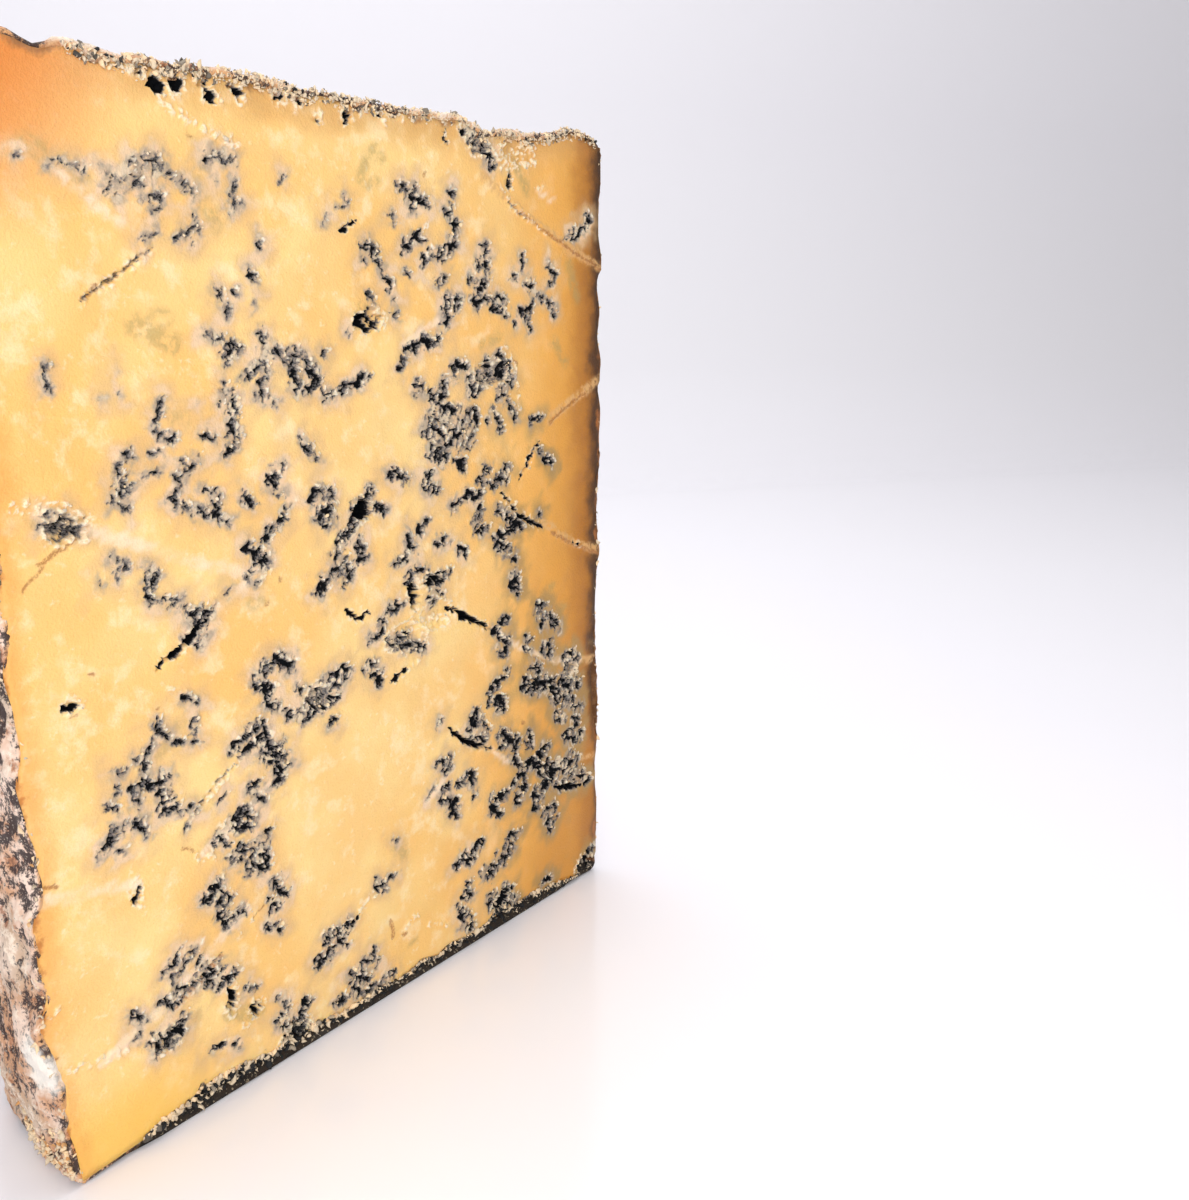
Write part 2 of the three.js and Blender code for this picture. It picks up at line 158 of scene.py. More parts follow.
# Each row is a strand's reach, then the x and z of its points.
STRANDS = """
1.0 -90 219.5
1.3 -83 219 -79 219 -75 218
0.9 -72 219.5
1.5 -62 214 -58 215
1.4 -61 211 -58 213
1.8 -57 219 -53 218 -50 216
0.9 -49 217
1.4 -50 211 -49 208
1.6 -55 206 -49 209
0.9 -51 205
1.2 -63 205 -60 208
1.7 -46 223 -42 224.5 -38 224
0.9 -44 219.5
1.4 -38.5 219 -40 213 -36 214.5
1.2 -33 208 -32 205
1.2 -36 200 -34 197
0.9 -36 191
1.3 -45 196 -43 191
0.8 -40 195
0.9 -24 222
1.1 -8 216 -5 218
0.9 -12 212
1.4 14 223 17 221 20 220 24 219
1.2 18 217 19 223
0.8 10 215 12 214
1.5 15 207 18 210 21 210
0.9 16 201
1.2 32 223 34 222
1.6 31 218 35 214 34 210 33 208 29 206.5 26 206 22 204
1.5 0 208 3 207 6 203 7 200 9 198
0.8 0 203.5
1.0 2 195 3 193
0.9 11 194
1.0 -7 186.5
1.0 11 190
1.3 28 199 31 200
1.3 36 195 33 192
1.1 45 209 48 210
1.5 44 204 48 207 47 203
1.6 41 200 44 197 47 200
1.4 42 194 47 195 51 194.5 55 195
1.3 50 193 56 191
1.0 63 207 64 204
0.9 60 201
1.2 76 206 79 202 76 199
1.5 66 200 70 197 74 195 78 193 79 191
1.3 68 194 66 191 67 187
1.2 63 191 67 188
0.9 60 188
1.3 -88 180 -89 176
1.8 -93 149 -88 148 -83.5 147.4
1.2 -91 151 -87 150
0.7 -76 173
0.7 -72 173
0.7 -73 179
1.4 -62 172 -64 168 -63 164 -59 164
1.3 -66 161.5 -64 161
1.7 -71 161.5 -73 160 -75 156 -71 155 -76 151 -72 150
1.1 -68 156 -63 157
1.6 -58 158 -55 158 -60 155
1.6 -60 153 -62 150 -58 148 -54 147 -50 145 -47 144
1.4 -53 152 -50 150 -49 147
1.6 -49 186 -41 183 -45 180
1.7 -34 186 -33 177 -36 172 -31 170
1.3 -40 176 -35 178
1.7 -31 182 -26 179 -24 176 -25 173
1.8 -26 181 -21 180 -19 177 -17 175 -21 172
1.0 -15 181
1.5 -15 171 -10 171.5 -6 173 -1 175
1.7 -45 174 -46 171 -43 171 -44 165 -43 162 -47 159
0.9 -53 170
1.1 -52 164 -49 163.5
1.2 -42 150 -40 146
1.3 -33 153 -34 150 -31 149
0.9 -30 155
1.2 -24 161.5 -22 158.5 -19 155.5
1.5 -36 138 -32 141 -29 144
1.2 -42 138 -42 136
1.4 -39 136 -40 131 -36 133
1.8 -21 146 -18 148 -15 145 -19 141 -16 139
1.3 -77 140 -74 138 -76 136
0.9 -81 134
1.4 -69 137 -67 134 -70 131 -68 129
1.5 -66 128 -61 127 -58 124 -53 123
1.2 -48 127
1.1 -42 129 -40 128
1.3 -1 146 -4 143
1.2 0 142 3 140
1.6 -8 141 -8 137 -12 134 -14 131
1.3 -6 134 -6 131
1.0 -6 128 -4 128.5
1.9 -20 122 -18 125 -15 127 -10 127
1.5 -10 127 -10 124 -12 123
1.5 5 149.5 8 149 11 147.5
0.9 15 148
1.2 13 179 12 177
1.3 14 181 20 183 27 184
1.5 18 173 19 171
1.4 18 170 21 169 28 169 29 173
1.4 32 174 33 177 38 176 38 173
1.6 23 148 21 147 20 144 25 143
1.6 12 133 12 130 14 128
1.4 17 132 20 135
1.4 7 125.5 12 126
1.3 24 128 28 128
1.1 34 125 36 123
1.3 50 164 53 158
0.9 47 161
1.3 56 165 60 162
0.9 59 160
1.3 67 159 71 160
1.3 71 150 74 147 77 145.5
1.3 33 150 36 148
1.6 45 147 43 143 49 142
1.5 49 142 55 146 53 143
1.4 31 137 36 140 43 139
1.6 43 136 41 130 45 129
1.6 51 134 57 130 61 128
1.4 61 128 53 127 50 125 54 121
0.9 70 130.5
1.5 -60 119.5 -56 122 -53 124
1.0 -62.5 104.5 -58.5 102.7
0.8 -60.5 99 -60 97
1.1 -65 95 -62 94 -59 93.5
1.4 -69.5 101 -72 96 -73 94
1.0 -69 99 -68 97
1.5 -76 94 -73 91
1.2 -82 93 -79.5 92.5
1.2 -80.5 92 -81 89.5
1.2 -81 88 -83 86
0.9 -82 84
1.9 -75 89 -72 87 -70 85 -68 88.5
1.5 -77 87 -75.5 83
1.7 -69 83 -70 80 -67 79
1.6 -86 75 -84 78 -82 80 -79 80 -76 78 -75 76
1.2 -82 74 -80 74
1.1 -63 78 -61 77
0.8 -54 77.5
0.7 -64 74
1.1 -46 77 -44 78.5
1.6 -49 89 -46 91 -42 93
1.2 -48 87 -44 88
2.0 -40 90 -42 87 -41 85 -38 83 -36 83
1.5 -39 86 -36 86
1.7 -38 82 -36 79 -33 80
1.2 -40 76 -36 77
1.3 -44 75 -42 73.5
1.6 -51 71 -48 72 -45 70
1.2 -50 69 -47 68
1.4 -57 68.5 -54 66.5
2.2 -52 61.5 -48 62 -45 61 -44 59
1.8 -48 57 -43 56 -43 60
1.2 -43 64 -41 65
2.0 -41 103 -39 107 -35 108 -31 105
1.6 -40 103 -38 100 -39 97 -37 96
1.2 -34 94 -32 92.5
1.2 -29 99 -27.5 98
0.9 -19 87 -17 87
1.2 -5 98.5 -2 99.5
1.0 -3 96 0 96 -1 93
1.1 -4 106 0 106 1 110
1.3 4 113 9 113
1.4 4 103 7 102.5 12 104
1.4 12 121 13 119
1.2 15 122 18 121 20 120
1.4 24 118 28 119
1.2 20 113 23 111
1.0 24 114 26 113
1.3 9 101 14 101 17 99
1.4 22.5 75.5
1.8 22 62.5 25 63.5
1.2 23 61 26 60
1.0 48 97 52 95 55 93
1.1 50 91 53 89.5
1.1 51 99.5 54 99.5
1.4 52 124 55 121
1.0 58 119 59 117.5
1.5 57 112.5 59 112 58 110 60 108.5
0.9 64 91 65 88
1.7 73 86 75 88 75 85
1.2 65 82.5 67 82
1.2 69 80 68 78
1.6 61 77.5 65 76 69 74
1.4 69 74 72 76 76 75
1.5 72 73 75 72 77 70 78 68
1.2 76 72 80 72 82 74
1.6 50 64 52 64 51 61
1.8 51 61 55 60 57 58.5
1.5 46 79 49 81
1.5 46 76 49 75 51 74 50 72
0.9 52 82 54 83
1.7 34 54 36 55 37 52
0.7 37 48
1.3 64 60 64 57
1.3 55 55 58 52 60 50
1.2 61 50 65 50.5 70 51.5
1.3 65 49 69 47.5
1.3 71 54 73 53
1.2 55 46 58 46 59 48
1.5 60 45 61 43 58 41 57 40
0.9 44 45
1.2 48 43.5 52 44
1.2 45 41 48 38.5
1.4 66 39 69 38 68 36 67 34
1.3 72 31 76 31.5
1.5 73 27 75 25
0.7 78 27
1.7 40 21 43 21 44 20 47 23
1.4 47 23 52 23 54 25
0.9 51 27
1.1 53 29 57 28.5
1.6 28 29 31 31
1.5 31 29 34 28 37 31 39 32
1.6 43 12 46 11
1.4 50 12 52 11
0.9 71 6 75 6
1.5 22 52 25 50.5 28 49
1.5 26 46 29 45
0.8 23 55 26 55
1.0 30 54 33 54
0.8 17 55 19 57
0.9 3 46
0.9 0 36 3 36
1.3 -5 36 -2 34.5
1.8 -24 28 -20 27 -16 29
1.3 -19 26 -20 24
1.9 -27 22 -23 23
1.1 -21 23
1.0 -17 22
1.5 -16 13 -13 13
1.5 -11 14 -8 14
1.0 -7 16
1.0 -6 12
1.2 -12 10
1.8 -13 6 -14 8
1.3 -32 13 -33 10
1.3 -22 7.5 -18 6
1.1 -10 5 0 6
1.0 33 21
1.4 31 18 34 17
1.0 28 15
1.4 30 13 31 10 33 8
1.1 -62 53.5
1.6 -60 54 -57 57
1.3 -57 52 -55 51
1.3 -57 49 -56 48
1.7 -55 46 -53 45 -51 47
1.3 -40 51 -39 48 -37 46
1.3 -42 47 -41 43 -39 43
1.1 -43 39 -39 38
0.9 -74 41 -72 41 -70 44 -69 45
1.0 -71 38 -68 40 -65 43.5
1.1 -75 33 -72 34 -70 35
1.0 -64 39
1.6 -62 33 -58 35
1.1 -60 31 -55 30.5 -54 32
1.1 -82 34 -80 31
1.2 -82 28 -81 28.5
1.0 -71 27 -69 26
1.2 -51 26 -49 25
1.1 -62 14 -59 14.5
0.8 -55 12
1.3 -42 12 -40 13
1.3 -40 16.5 -39 15
1.0 -41 18
"""

# Where seams crowd together the mould fills the curd between them. Rows as above.
CLUMPS = """
3.0 -69 216 -64 219 -60 221
1.9 31 195 30 188
3.4 22 160 27 158 33 157 38 156
3.0 25 165 32 163 40 162
2.6 24 154 28 152
2.2 41 239 46 236 50 232
3.0 40 170 46 173 52 178
2.6 48 176 56 175
2.2 58 172 53 168
2.4 -58 121 -57 118
3.2 -27 92 -23 95 -19 97 -14 99
2.4 -22 93 -17 95
2.8 72 98 73 95
2.4 73 96 77 95 79.5 92.5
2.0 70 100 73 100
3.0 84 80 88 80
2.8 83 75 86 72 84 67
2.2 88 73 91 70
2.0 82 66 87 65
2.0 78 63 82 61
2.0 90 63 93 62
2.6 38 73 41 70 42 66
2.2 36 68 42 65
2.6 84 54 88 53 91 52
2.0 88 61 89 57
3.2 72 46 76 45 79 44
2.2 71 41 75 42
2.4 81 44 85 46 88 44
2.0 77 39 82 37 88 36
2.0 87 42 91 38 95 35
3.0 -76 24 -72 24
2.4 -38 9 -34 7 -35 4
3.2 45 10 50 9 54 6
2.0 30 9 34 6
2.6 93 4 97 7
2.2 -10 9 -14 11
2.2 -57 56 -56 52
2.0 84 42 88 40
2.0 19 118 24 117
2.2 88 214 93 216.5 97 219.5
1.6 -72 32 -62 36
"""


def rows_of(text):
    """The rows of a list above: the first number, then the points as two arrays. A point
    on its own becomes a short upright line."""
    for line in text.strip().split("\n"):
        first, *rest = (float(word) for word in line.split())
        if len(rest) == 2:
            rest += [rest[0], rest[1] + 0.3]
        yield first, np.array(rest[0::2]), np.array(rest[1::2])


def gap_to_path(x, z, path_x, path_z):
    """Distance from each point to a line through the path's points, and how far along
    the path its nearest place is, from 0 to 1."""
    best, along = np.full(x.shape, 99.0), np.zeros(x.shape)
    legs = len(path_x) - 1
    for leg in range(legs):
        dx, dz = path_x[leg + 1] - path_x[leg], path_z[leg + 1] - path_z[leg]
        dot = (x - path_x[leg]) * dx + (z - path_z[leg]) * dz
        t = np.clip(dot / (dx * dx + dz * dz), 0, 1)
        gap = np.hypot(x - path_x[leg] - t * dx, z - path_z[leg] - t * dz)
        along = np.where(gap < best, (leg + t) / legs, along)
        best = np.minimum(best, gap)
    return best, along


def beside(x, z, path_x, path_z, margin):
    """The places that may lie within a margin of a path."""
    inside_x = (x > path_x.min() - margin) & (x < path_x.max() + margin)
    return np.nonzero(inside_x & (z > path_z.min() - margin) & (z < path_z.max() + margin))


def nearest(x, z, text, margin=7.0):
    """Distance to the nearest strand's line, and to the edge of its reach: less than 0
    inside it."""
    line, edge = np.full(x.shape, 9.0), np.full(x.shape, margin)
    for reach, path_x, path_z in rows_of(text):
        near = beside(x, z, path_x, path_z, margin + reach)
        gap, _ = gap_to_path(x[near], z[near], path_x, path_z)
        line[near] = np.minimum(line[near], gap)
        edge[near] = np.minimum(edge[near], gap - reach)
    return line, edge


def swirl(x, z, size, seed):
    """Noise on the cut face, about -1 to 1: every corner of a grid of that size slopes in
    a random direction, and the slopes are blended between corners."""
    x, z = x / size + 0.31 * seed, z / size - 0.47 * seed
    i, j = np.floor(x), np.floor(z)
    u, v = ease(x - i), ease(z - j)

    def corner(di, dj):
        turn = 2 * np.pi * hash01(i + di, j + dj, np.full(i.shape, 31 + seed))
        return np.cos(turn) * (x - i - di) + np.sin(turn) * (z - j - dj)

    low = mix(corner(0, 0), corner(1, 0), u)
    high = mix(corner(0, 1), corner(1, 1), u)
    return 1.55 * mix(low, high, v)


def bent(x, z, far, size, seed):
    """Places moved about by noise, so that straight lines through them fray."""
    x_by = swirl(x, z, size, seed) + 0.55 * swirl(x, z, 0.4 * size, seed + 1)
    z_by = swirl(x, z, size, seed + 2) + 0.55 * swirl(x, z, 0.4 * size, seed + 3)
    return x + far * x_by, z + far * z_by


def curd_grains(x, z, size):
    """Grains of curd about that size: each point belongs to the nearest of seeds strewn
    one to a square. Gives the grain's own random number, and how far the point is from
    the seam with the next grain."""
    x, z = x / size, z / size
    i0, j0 = np.floor(x), np.floor(z)
    near, second, own = np.full(x.shape, 9.0), np.full(x.shape, 9.0), np.zeros(x.shape)
    for i, j in ((i0 + di, j0 + dj) for di in (-1, 0, 1) for dj in (-1, 0, 1)):
        gap = np.hypot(x - i - hash01(i, j, 71), z - j - hash01(i, j, 72))
        second = np.where(gap < near, near, np.minimum(second, gap))
        own = np.where(gap < near, hash01(i, j, 73), own)
        near = np.minimum(near, gap)
    return own, 0.5 * size * (second - near)


def mould_at(x, z):
    """How thick the blue mould is: over 0.5 where it shows. Along a strand it is a broken
    thread, and round it mould fills the seams between grains of curd, which are drawn out
    as the curd has sunk, and felts over some. It has ripened most low down by the far
    edge. Also the distance to the edge of the reach, and the grain's own number."""
    bx, bz = bent(x, z, 1.2, 3.2, 1)
    line, edge = nearest(bx, bz, STRANDS)
    _, clump = nearest(bx, bz, CLUMPS)
    gx, gz = bent(x, z, 0.55, 2.3, 17)
    along = DRAWN_OUT * (SUNK_X * gx + SUNK_Z * gz)
    athwart = SQUEEZED * (SUNK_Z * gx - SUNK_X * gz)
    own, seam = curd_grains(along, athwart, CURD_GRAIN)
    fine = swirl(x, z, 1.0, 9)
    patchy = swirl(x, z, 3.9, 6)
    ripe = RIPE_LEAST + RIPER * rise(-75, 30, x + 0.5 * (200 - z))
    ripe = ripe + RIPER * rise(10, 70, x) * rise(160, 90, z)
    edge = edge - 2.0 * (ripe - 0.9)
    thread_wide = ripe * (THREAD_HALF + 0.80 * swirl(x, z, 2.4, 5) + 0.35 * fine)
    thread = THICKEST - line / thread_wide.clip(0.2, 3)
    thread = thread * rise(-0.5, 0.1, swirl(bx, bz, 2.9, 16) + 0.4 * fine)
    seam_wide = ripe * (SEAM_HALF + 0.90 * patchy + 0.30 * fine)
    between = THICKEST - seam / seam_wide.clip(0.08, 2)
    felt = 0.18 + 0.45 * swirl(along, athwart, 1.9, 18) + 0.25 * fine
    inside = rise(1.0, -0.6, np.minimum(edge, clump + 0.2) + 0.8 * fine)
    mould = np.maximum(thread, inside * np.maximum(between, felt)) * np.minimum(ripe, 1)
    return mould, np.minimum(edge, clump), own


# ---- The paste: cracks, holes and stains ----------------------------------------------
# The needles' tracks and the gaps between badly knit curds run into the cheese. The wire
# opens them as cracks and holes. Mould lines some, others have dried cream or brown.

# Each row: width, then the x and z of an open crack's points.
CRACKS = """
1.8 -8 210 -2 213
2.0 61 142 65 147 70 153
1.8 50 141 57 135 60 132
2.8 59 132 64 129.5 72 126
2.6 -69 113 -62 117 -54 122
3.0 28 109 36 104 48 98
3.0 26 73 33 67 40 63 46 60.5
2.2 71 76 76 72 78 68
2.4 77 38 84 36 92 34
2.0 4 92.5 10 95
2.2 -12 116 -8 112.5 -3 113.5
1.8 60 49.5 66 51 71 51.5
1.6 -18 25 -12 30
1.5 88 119 93 117
"""
# Each row: as above, for a crack that has dried without mould.
DRY_CRACKS = """
1.6 -79 193 -70 198 -61 204
1.7 57 222 60 220.5 67 217.5
1.2 81 212 84 213.5 88 215
1.6 -62 77 -57 81 -50 85
1.6 -71 31 -62 36 -57 39
"""
CRACK_DEPTH = 1.5  # depth of a crack for each millimetre of its width
CRACK_TIP = 0.04  # share of its length where it has closed
MOULDY, DRIED = 1.0, 0.3  # how much dark mould lines the two kinds

# Each row: width, then the x and z of a smooth groove that has closed and dried pale.
SMOOTH_TRACKS = """
2.6 -84 147 -74 143 -60 137 -42 130
2.0 48 98 53 94 60 90 68 86 75 82.5 92 78
1.8 46 60 53 54
2.4 -103 70 -85 67 -78 65
2.0 -54 122 -42 129
3.0 -90 26 -70 34 -50 47
2.0 -84 219 -68 208
1.6 72 226 80 224
2.0 15 52 28 60
2.4 -60 66 -40 76
2.0 12 182 30 190
"""

# Each row: width, then the x and z of a seam that has crumbled open and dried pale.
CRUMBLED_SEAMS = """
2.0 -56 233 -46 229.5 -37 227
1.2 53 226 60 220 68 217 74 214
1.3 54 183 60 176 61 168 62 163
1.8 -63 76 -57 80 -48 86
1.4 -52 41 -48 44
2.2 -98 28.5 -85 26
1.6 -103 42 -99 45
3.6 -54 71 -50 69
2.6 -62 65.5 -58 65
2.4 -40 66 -40 66.5
2.4 -59 54 -56 58
2.0 -26 30 -24 30.5
2.4 -12 31 -6 34
2.4 44 236 50 234 56 233 62 236 70 238
3.0 54 231 60 232 70 234
1.6 71 227 74 227.5
1.6 -53 17 -51 15.5
1.2 15 15 22 12
1.5 -66 108 -60 105
1.4 -14 141 -13 143
2.4 10 104 18 107 27 106
1.4 5 92 14 96
1.6 -40 128 -36 130
1.6 6 18 10 20
3.2 -97 153 -91 152.5 -85 150.5
"""

# Each row: width, then the x and z of a needle's track that stands out, torn and tan.
NEEDLE_TRACKS = """
2.6 46 228 54 224 63 220
2.6 63 220 75 215 83 212
2.8 83 212 92 208.5 99 206.5 105 204
3.4 76 159 82 162.5 89 165 96 168 103 171
3.0 72 128 80 122.5 89 118.5 97 116 105 113
2.4 88 80 96 77.5 104 77
2.2 92 44 98 43 104 41
2.0 88 38 96 36 104 34
"""

# Each row: width, then the x and z of a dried brown line or spot.
BROWN_TRACKS = """
0.9 63 219.4 75 214.4 83 211.4 92 208 99 206 105 203.5
1.0 76 158.4 82 161.8 89 164.4 94 166.5
1.2 76 124 82 121 89 117.6 97 115 105 112
1.0 -94 141 -88 143.5 -82.5 147
0.7 -98 136 -93 140.5
1.2 -71 31 -64 34.5 -58 38
1.0 -103 74 -97 71.5
0.9 -66 69 -63 67.5
0.7 -85 116 -84 116
0.7 -69.5 104 -69 104
1.2 -103 33 -101 33
1.5 0 22 1 20 1 17
1.3 5 16 6 16
1.0 60 65 61 65
1.0 78 27 79 27
0.6 -62 229 -61.5 229
0.6 -50 227.5 -49 227.5
0.8 30 239 32 242
1.3 -79 193 -75 195.5
0.6 -90 108 -89 108
0.8 54 173 58 178 61 176
0.6 -48 44 -44 46
0.7 22 226 23 227
0.7 -38 122 -37 122
0.6 -33 127 -33 128
"""

# Each row: width, then the x and z of an old seam that has turned olive grey.
OLIVE_PATCHES = """
5.0 -67 188 -58 184
2.0 -62 191 -58 190
3.0 -42 123 -39 123
3.0 76 106 77 106
3.0 82 98.5 83 98.5
2.0 8 12 10 12
2.4 0 223 1 226 3 229
2.4 3 222 6 223
2.4 5 231 8 228.5
2.0 7 190 12 193
5.0 -3 189 0 192
4.0 3 45 6 41
4.0 86 77 90 71
3.0 -60 168 -56 168
3.0 -94 150 -88 146
3.0 -83 147 -80 145
3.0 78 183 84 176
4.0 86 206 90 196
4.0 62 232 66 226
3.0 -70 93 -64 99
3.0 45 182 52 184
4.0 -50 218 -44 210
4.0 -88 222 -76 217
4.0 70 150 78 142
5.0 -56 22 -48 18
3.0 -70 22 -66 26
"""

# Each row: x, z, half width, half height, depth, and how much dark mould lines it.
HOLES = np.array(
    [
        (1, 189, 5.5, 2.9, 5.0, 0.9),
        (58, 228, 1.3, 2.6, 4.0, 1.0),
        (-87, 147.2, 5.0, 2.8, 3.0, 0.45),
        (-4, 141, 3.2, 3.0, 6.0, 1.0),
        (-90, 110, 1.4, 1.4, 3.0, 1.0),
        (-78.5, 62.5, 1.2, 2.6, 4.0, 1.0),
        (14, 115, 2.2, 4.6, 6.0, 1.0),
        (22, 118, 3.6, 2.0, 3.5, 0.8),
        (10, 104, 8.0, 4.0, 1.6, 0.0),
        (23, 108, 6.0, 4.0, 1.4, 0.0),
        (-55.5, 25, 1.9, 3.0, 5.0, 1.0),
        (-48.5, 19.5, 1.9, 1.9, 4.5, 1.0),
        (-74, 24, 3.6, 2.6, 2.0, 0.5),
        (-22, 95, 5.0, 3.2, 1.8, 0.3),
        (49, 174, 8.0, 3.6, 1.6, 0.3),
        (86, 77, 3.6, 3.4, 1.6, 0.3),
        (75, 45, 4.6, 3.0, 2.0, 0.3),
        (93, 4.5, 4.2, 3.2, 3.0, 1.0),
        (48, 9, 3.6, 3.0, 3.0, 1.0),
        (-36, 6, 4.6, 2.8, 2.0, 0.5),
        (45, 236, 4.6, 3.0, 1.8, 0.4),
        (62, 236, 7.0, 3.4, 1.4, 0.0),
        (-70, 240.2, 1.6, 1.0, 2.5, 1.0),
        (-62, 238.8, 1.3, 1.2, 2.5, 1.0),
        (-57, 236.6, 1.9, 1.4, 2.5, 1.0),
        (-52.5, 237.6, 1.7, 2.0, 2.5, 1.0),
        (-45, 239.2, 2.0, 1.0, 2.0, 0.8),
        (-43.5, 236.6, 1.4, 1.6, 3.0, 1.0),
        (-36, 238.4, 1.3, 1.4, 3.0, 1.0),
        (-24, 239, 1.6, 1.0, 2.0, 0.9),
        (-19, 238.6, 1.0, 1.2, 2.0, 0.9),
        (-12.5, 235.6, 1.0, 1.0, 3.0, 1.0),
        (-4, 237.4, 1.4, 1.5, 3.0, 1.0),
        (0, 239.8, 1.1, 1.0, 2.0, 0.9),
        (7.5, 239.4, 1.0, 1.3, 2.0, 0.9),
        (12.5, 239.8, 1.3, 1.0, 2.0, 0.9),
        (21, 240.0, 1.6, 0.9, 2.0, 0.9),
        (31.5, 237, 0.7, 2.4, 2.5, 1.0),
        (38, 238.5, 1.2, 1.4, 2.0, 0.8),
    ]
)


def opening_fields(x, z):
    """How deep the cracks and holes are, how dark their lining is, and how near their
    rims: 1 on a rim, and less over a millimetre or two on both sides of it."""
    depth, lining, rim = np.zeros(x.shape), np.zeros(x.shape), np.zeros(x.shape)
    bx, bz = bent(x, z, 0.6, 2.6, 31)
    kinds = ((CRACKS, MOULDY), (DRY_CRACKS, DRIED))
    cracks = [(*row, dark) for text, dark in kinds for row in rows_of(text)]
    for width, path_x, path_z, dark in cracks:
        near = beside(x, z, path_x, path_z, 5)
        gap, along = gap_to_path(bx[near], bz[near], path_x, path_z)
        torn = swirl(x[near], z[near], 1.4, 44) + 0.6 * swirl(x[near], z[near], 3.0, 45)
        tapered = np.sqrt(np.sin(np.pi * mix(CRACK_TIP, 1 - CRACK_TIP, along)))
        open_to = tapered * (0.72 + 0.35 * torn).clip(0.2, 1)
        fall = np.clip(1 - (gap / (0.5 * width * open_to)) ** 1.6, 0, 1)
        depth[near] = np.maximum(depth[near], CRACK_DEPTH * width * open_to * fall)
        shown = dark * rise(0.0, 0.55, fall) * rise(-0.7, 0.1, torn)
        lining[near] = np.maximum(lining[near], shown)
        rim[near] = np.maximum(rim[near], bell(gap - 0.55 * width * open_to, 0.8) * open_to)
    bx, bz = bent(x, z, 1.3, 3.0, 41)
    grain, seam = curd_grains(bx, bz, 1.9)
    kept = rise(0.55, 0.65, grain) * rise(0.1, 0.45, seam)
    for hx, hz, half_x, half_z, deep, dark in HOLES:
        share = np.hypot((bx - hx) / half_x, (bz - hz) / half_z)
        fall = np.sqrt(np.clip(1 - share**2, 0, 1))
        depth = np.maximum(depth, deep * fall * (1 - 0.5 * kept))
        lining = np.maximum(lining, dark * rise(0.1, 0.7, fall) * (1 - kept))
        rim = np.maximum(rim, bell((share - 1) * (half_x + half_z) / 2 - 0.3, 0.9))
    return depth, lining, rim


def stain(x, z, text, blur):
    """How strongly a list of tracks or patches marks each point, from 0 to 1."""
    bx, bz = bent(x, z, 0.5, 3.2, 51)
    share = np.zeros(x.shape)
    for width, path_x, path_z in rows_of(text):
        near = beside(x, z, path_x, path_z, width + 3 * blur)
        gap, _ = gap_to_path(bx[near], bz[near], path_x, path_z)
        share[near] = np.maximum(share[near], rise(0.5 * width + blur, 0.5 * width - blur, gap))
    return share


# How thick the blackened lower crust is above its edge, at places along the face.
BAND_AT = [-96, -84, -79, -70, -60, -52, -43, -36, -30, -20, -8, 4, 14, 24, 34, 42]
BAND_AT += [46, 52, 57, 64, 74, 82, 88, 92, 97, 100]
BAND_IS = [0, 0, 1.6, 1.6, 1.8, 1.2, 2.0, 5.0, 2.2, 0.9, 0.8, 0.8, 1.0, 1.0, 1.6, 1.8]
BAND_IS += [5.0, 2.0, 1.4, 1.5, 0.9, 0.6, 0.6, 2.0, 5.5, 6.5]


def band_at(x, z):
    """How far inside the blackened lower crust a point is: 1 well inside, 0 outside."""
    top = np.interp(x, BAND_AT, BAND_IS)
    tongues = 0.75 * swirl(x, z, 4.0, 61) + 0.55 * swirl(x, z, 1.5, 62)
    height = z - foot_at(x, 0)
    return rise(0.7, -0.7, height - top * (1 + tongues)) * rise(0.2, 1.2, top)


# ---- The paste: the cut face and the body behind it -----------------------------------
# Pale golden curd, close and moist, torn a little by the wire. The face is a grid of
# squares, split finely where mould or an opening needs it, and closed by a half drum.

SQUARE = 1.75  # side of a plain square of the face, in millimetres
SPLIT = 4  # squares along a split one's side
RIND_AT_CUT = 0.4  # width of the rind round the face
FOOT_CRUST, CROWN_CRUST = 1.0, 1.5  # height of the crusts under it and over it
# Relief of the face, in millimetres.
WANDER, TEAR = 0.9, 0.5  # the wire's slow wander, and torn curd
PIT, LIP, RIM = 0.9, 0.5, 0.5  # pits of mould, lips beside them, and rims of openings
CRUST_BACK, DENT, RIDGE = 0.9, 0.8, 0.35  # lower crust, smooth tracks and needle tracks
BODY_IN = 5.5  # how far inside the rind's surface the body lies, back from the cut
BACK_RINGS = 12
# Fields of the face that need split squares, and the value that each needs them from.
NEEDS_SPLIT = {"mould": 0.25, "lining": 0.15, "band": 0.2, "rim": 0.5, "lip_and_highlight": 0.35, "brown": 0.5}
# Where in a square they are looked at, as shares of its width and height.
PROBES = ((0.2, 0.2), (0.8, 0.2), (0.5, 0.5), (0.2, 0.8), (0.8, 0.8))


def face_xz(u, v):
    """A place on the cut face from its share of the width and of the height inside the
    rind: the width follows the wheel's radius, and the height both crusts."""
    z = v * WHEEL_HEIGHT
    near_r, far_r = radius_at(np.pi, z), radius_at(0, z)
    near_r, far_r = near_r + ragged_at(-near_r, 0, z), far_r + ragged_at(far_r, 0, z)
    x = mix(RIND_AT_CUT - near_r, far_r - RIND_AT_CUT, u)
    return x, mix(foot_at(x, 0) + FOOT_CRUST, crown_at(x, 0) - CROWN_CRUST, v)


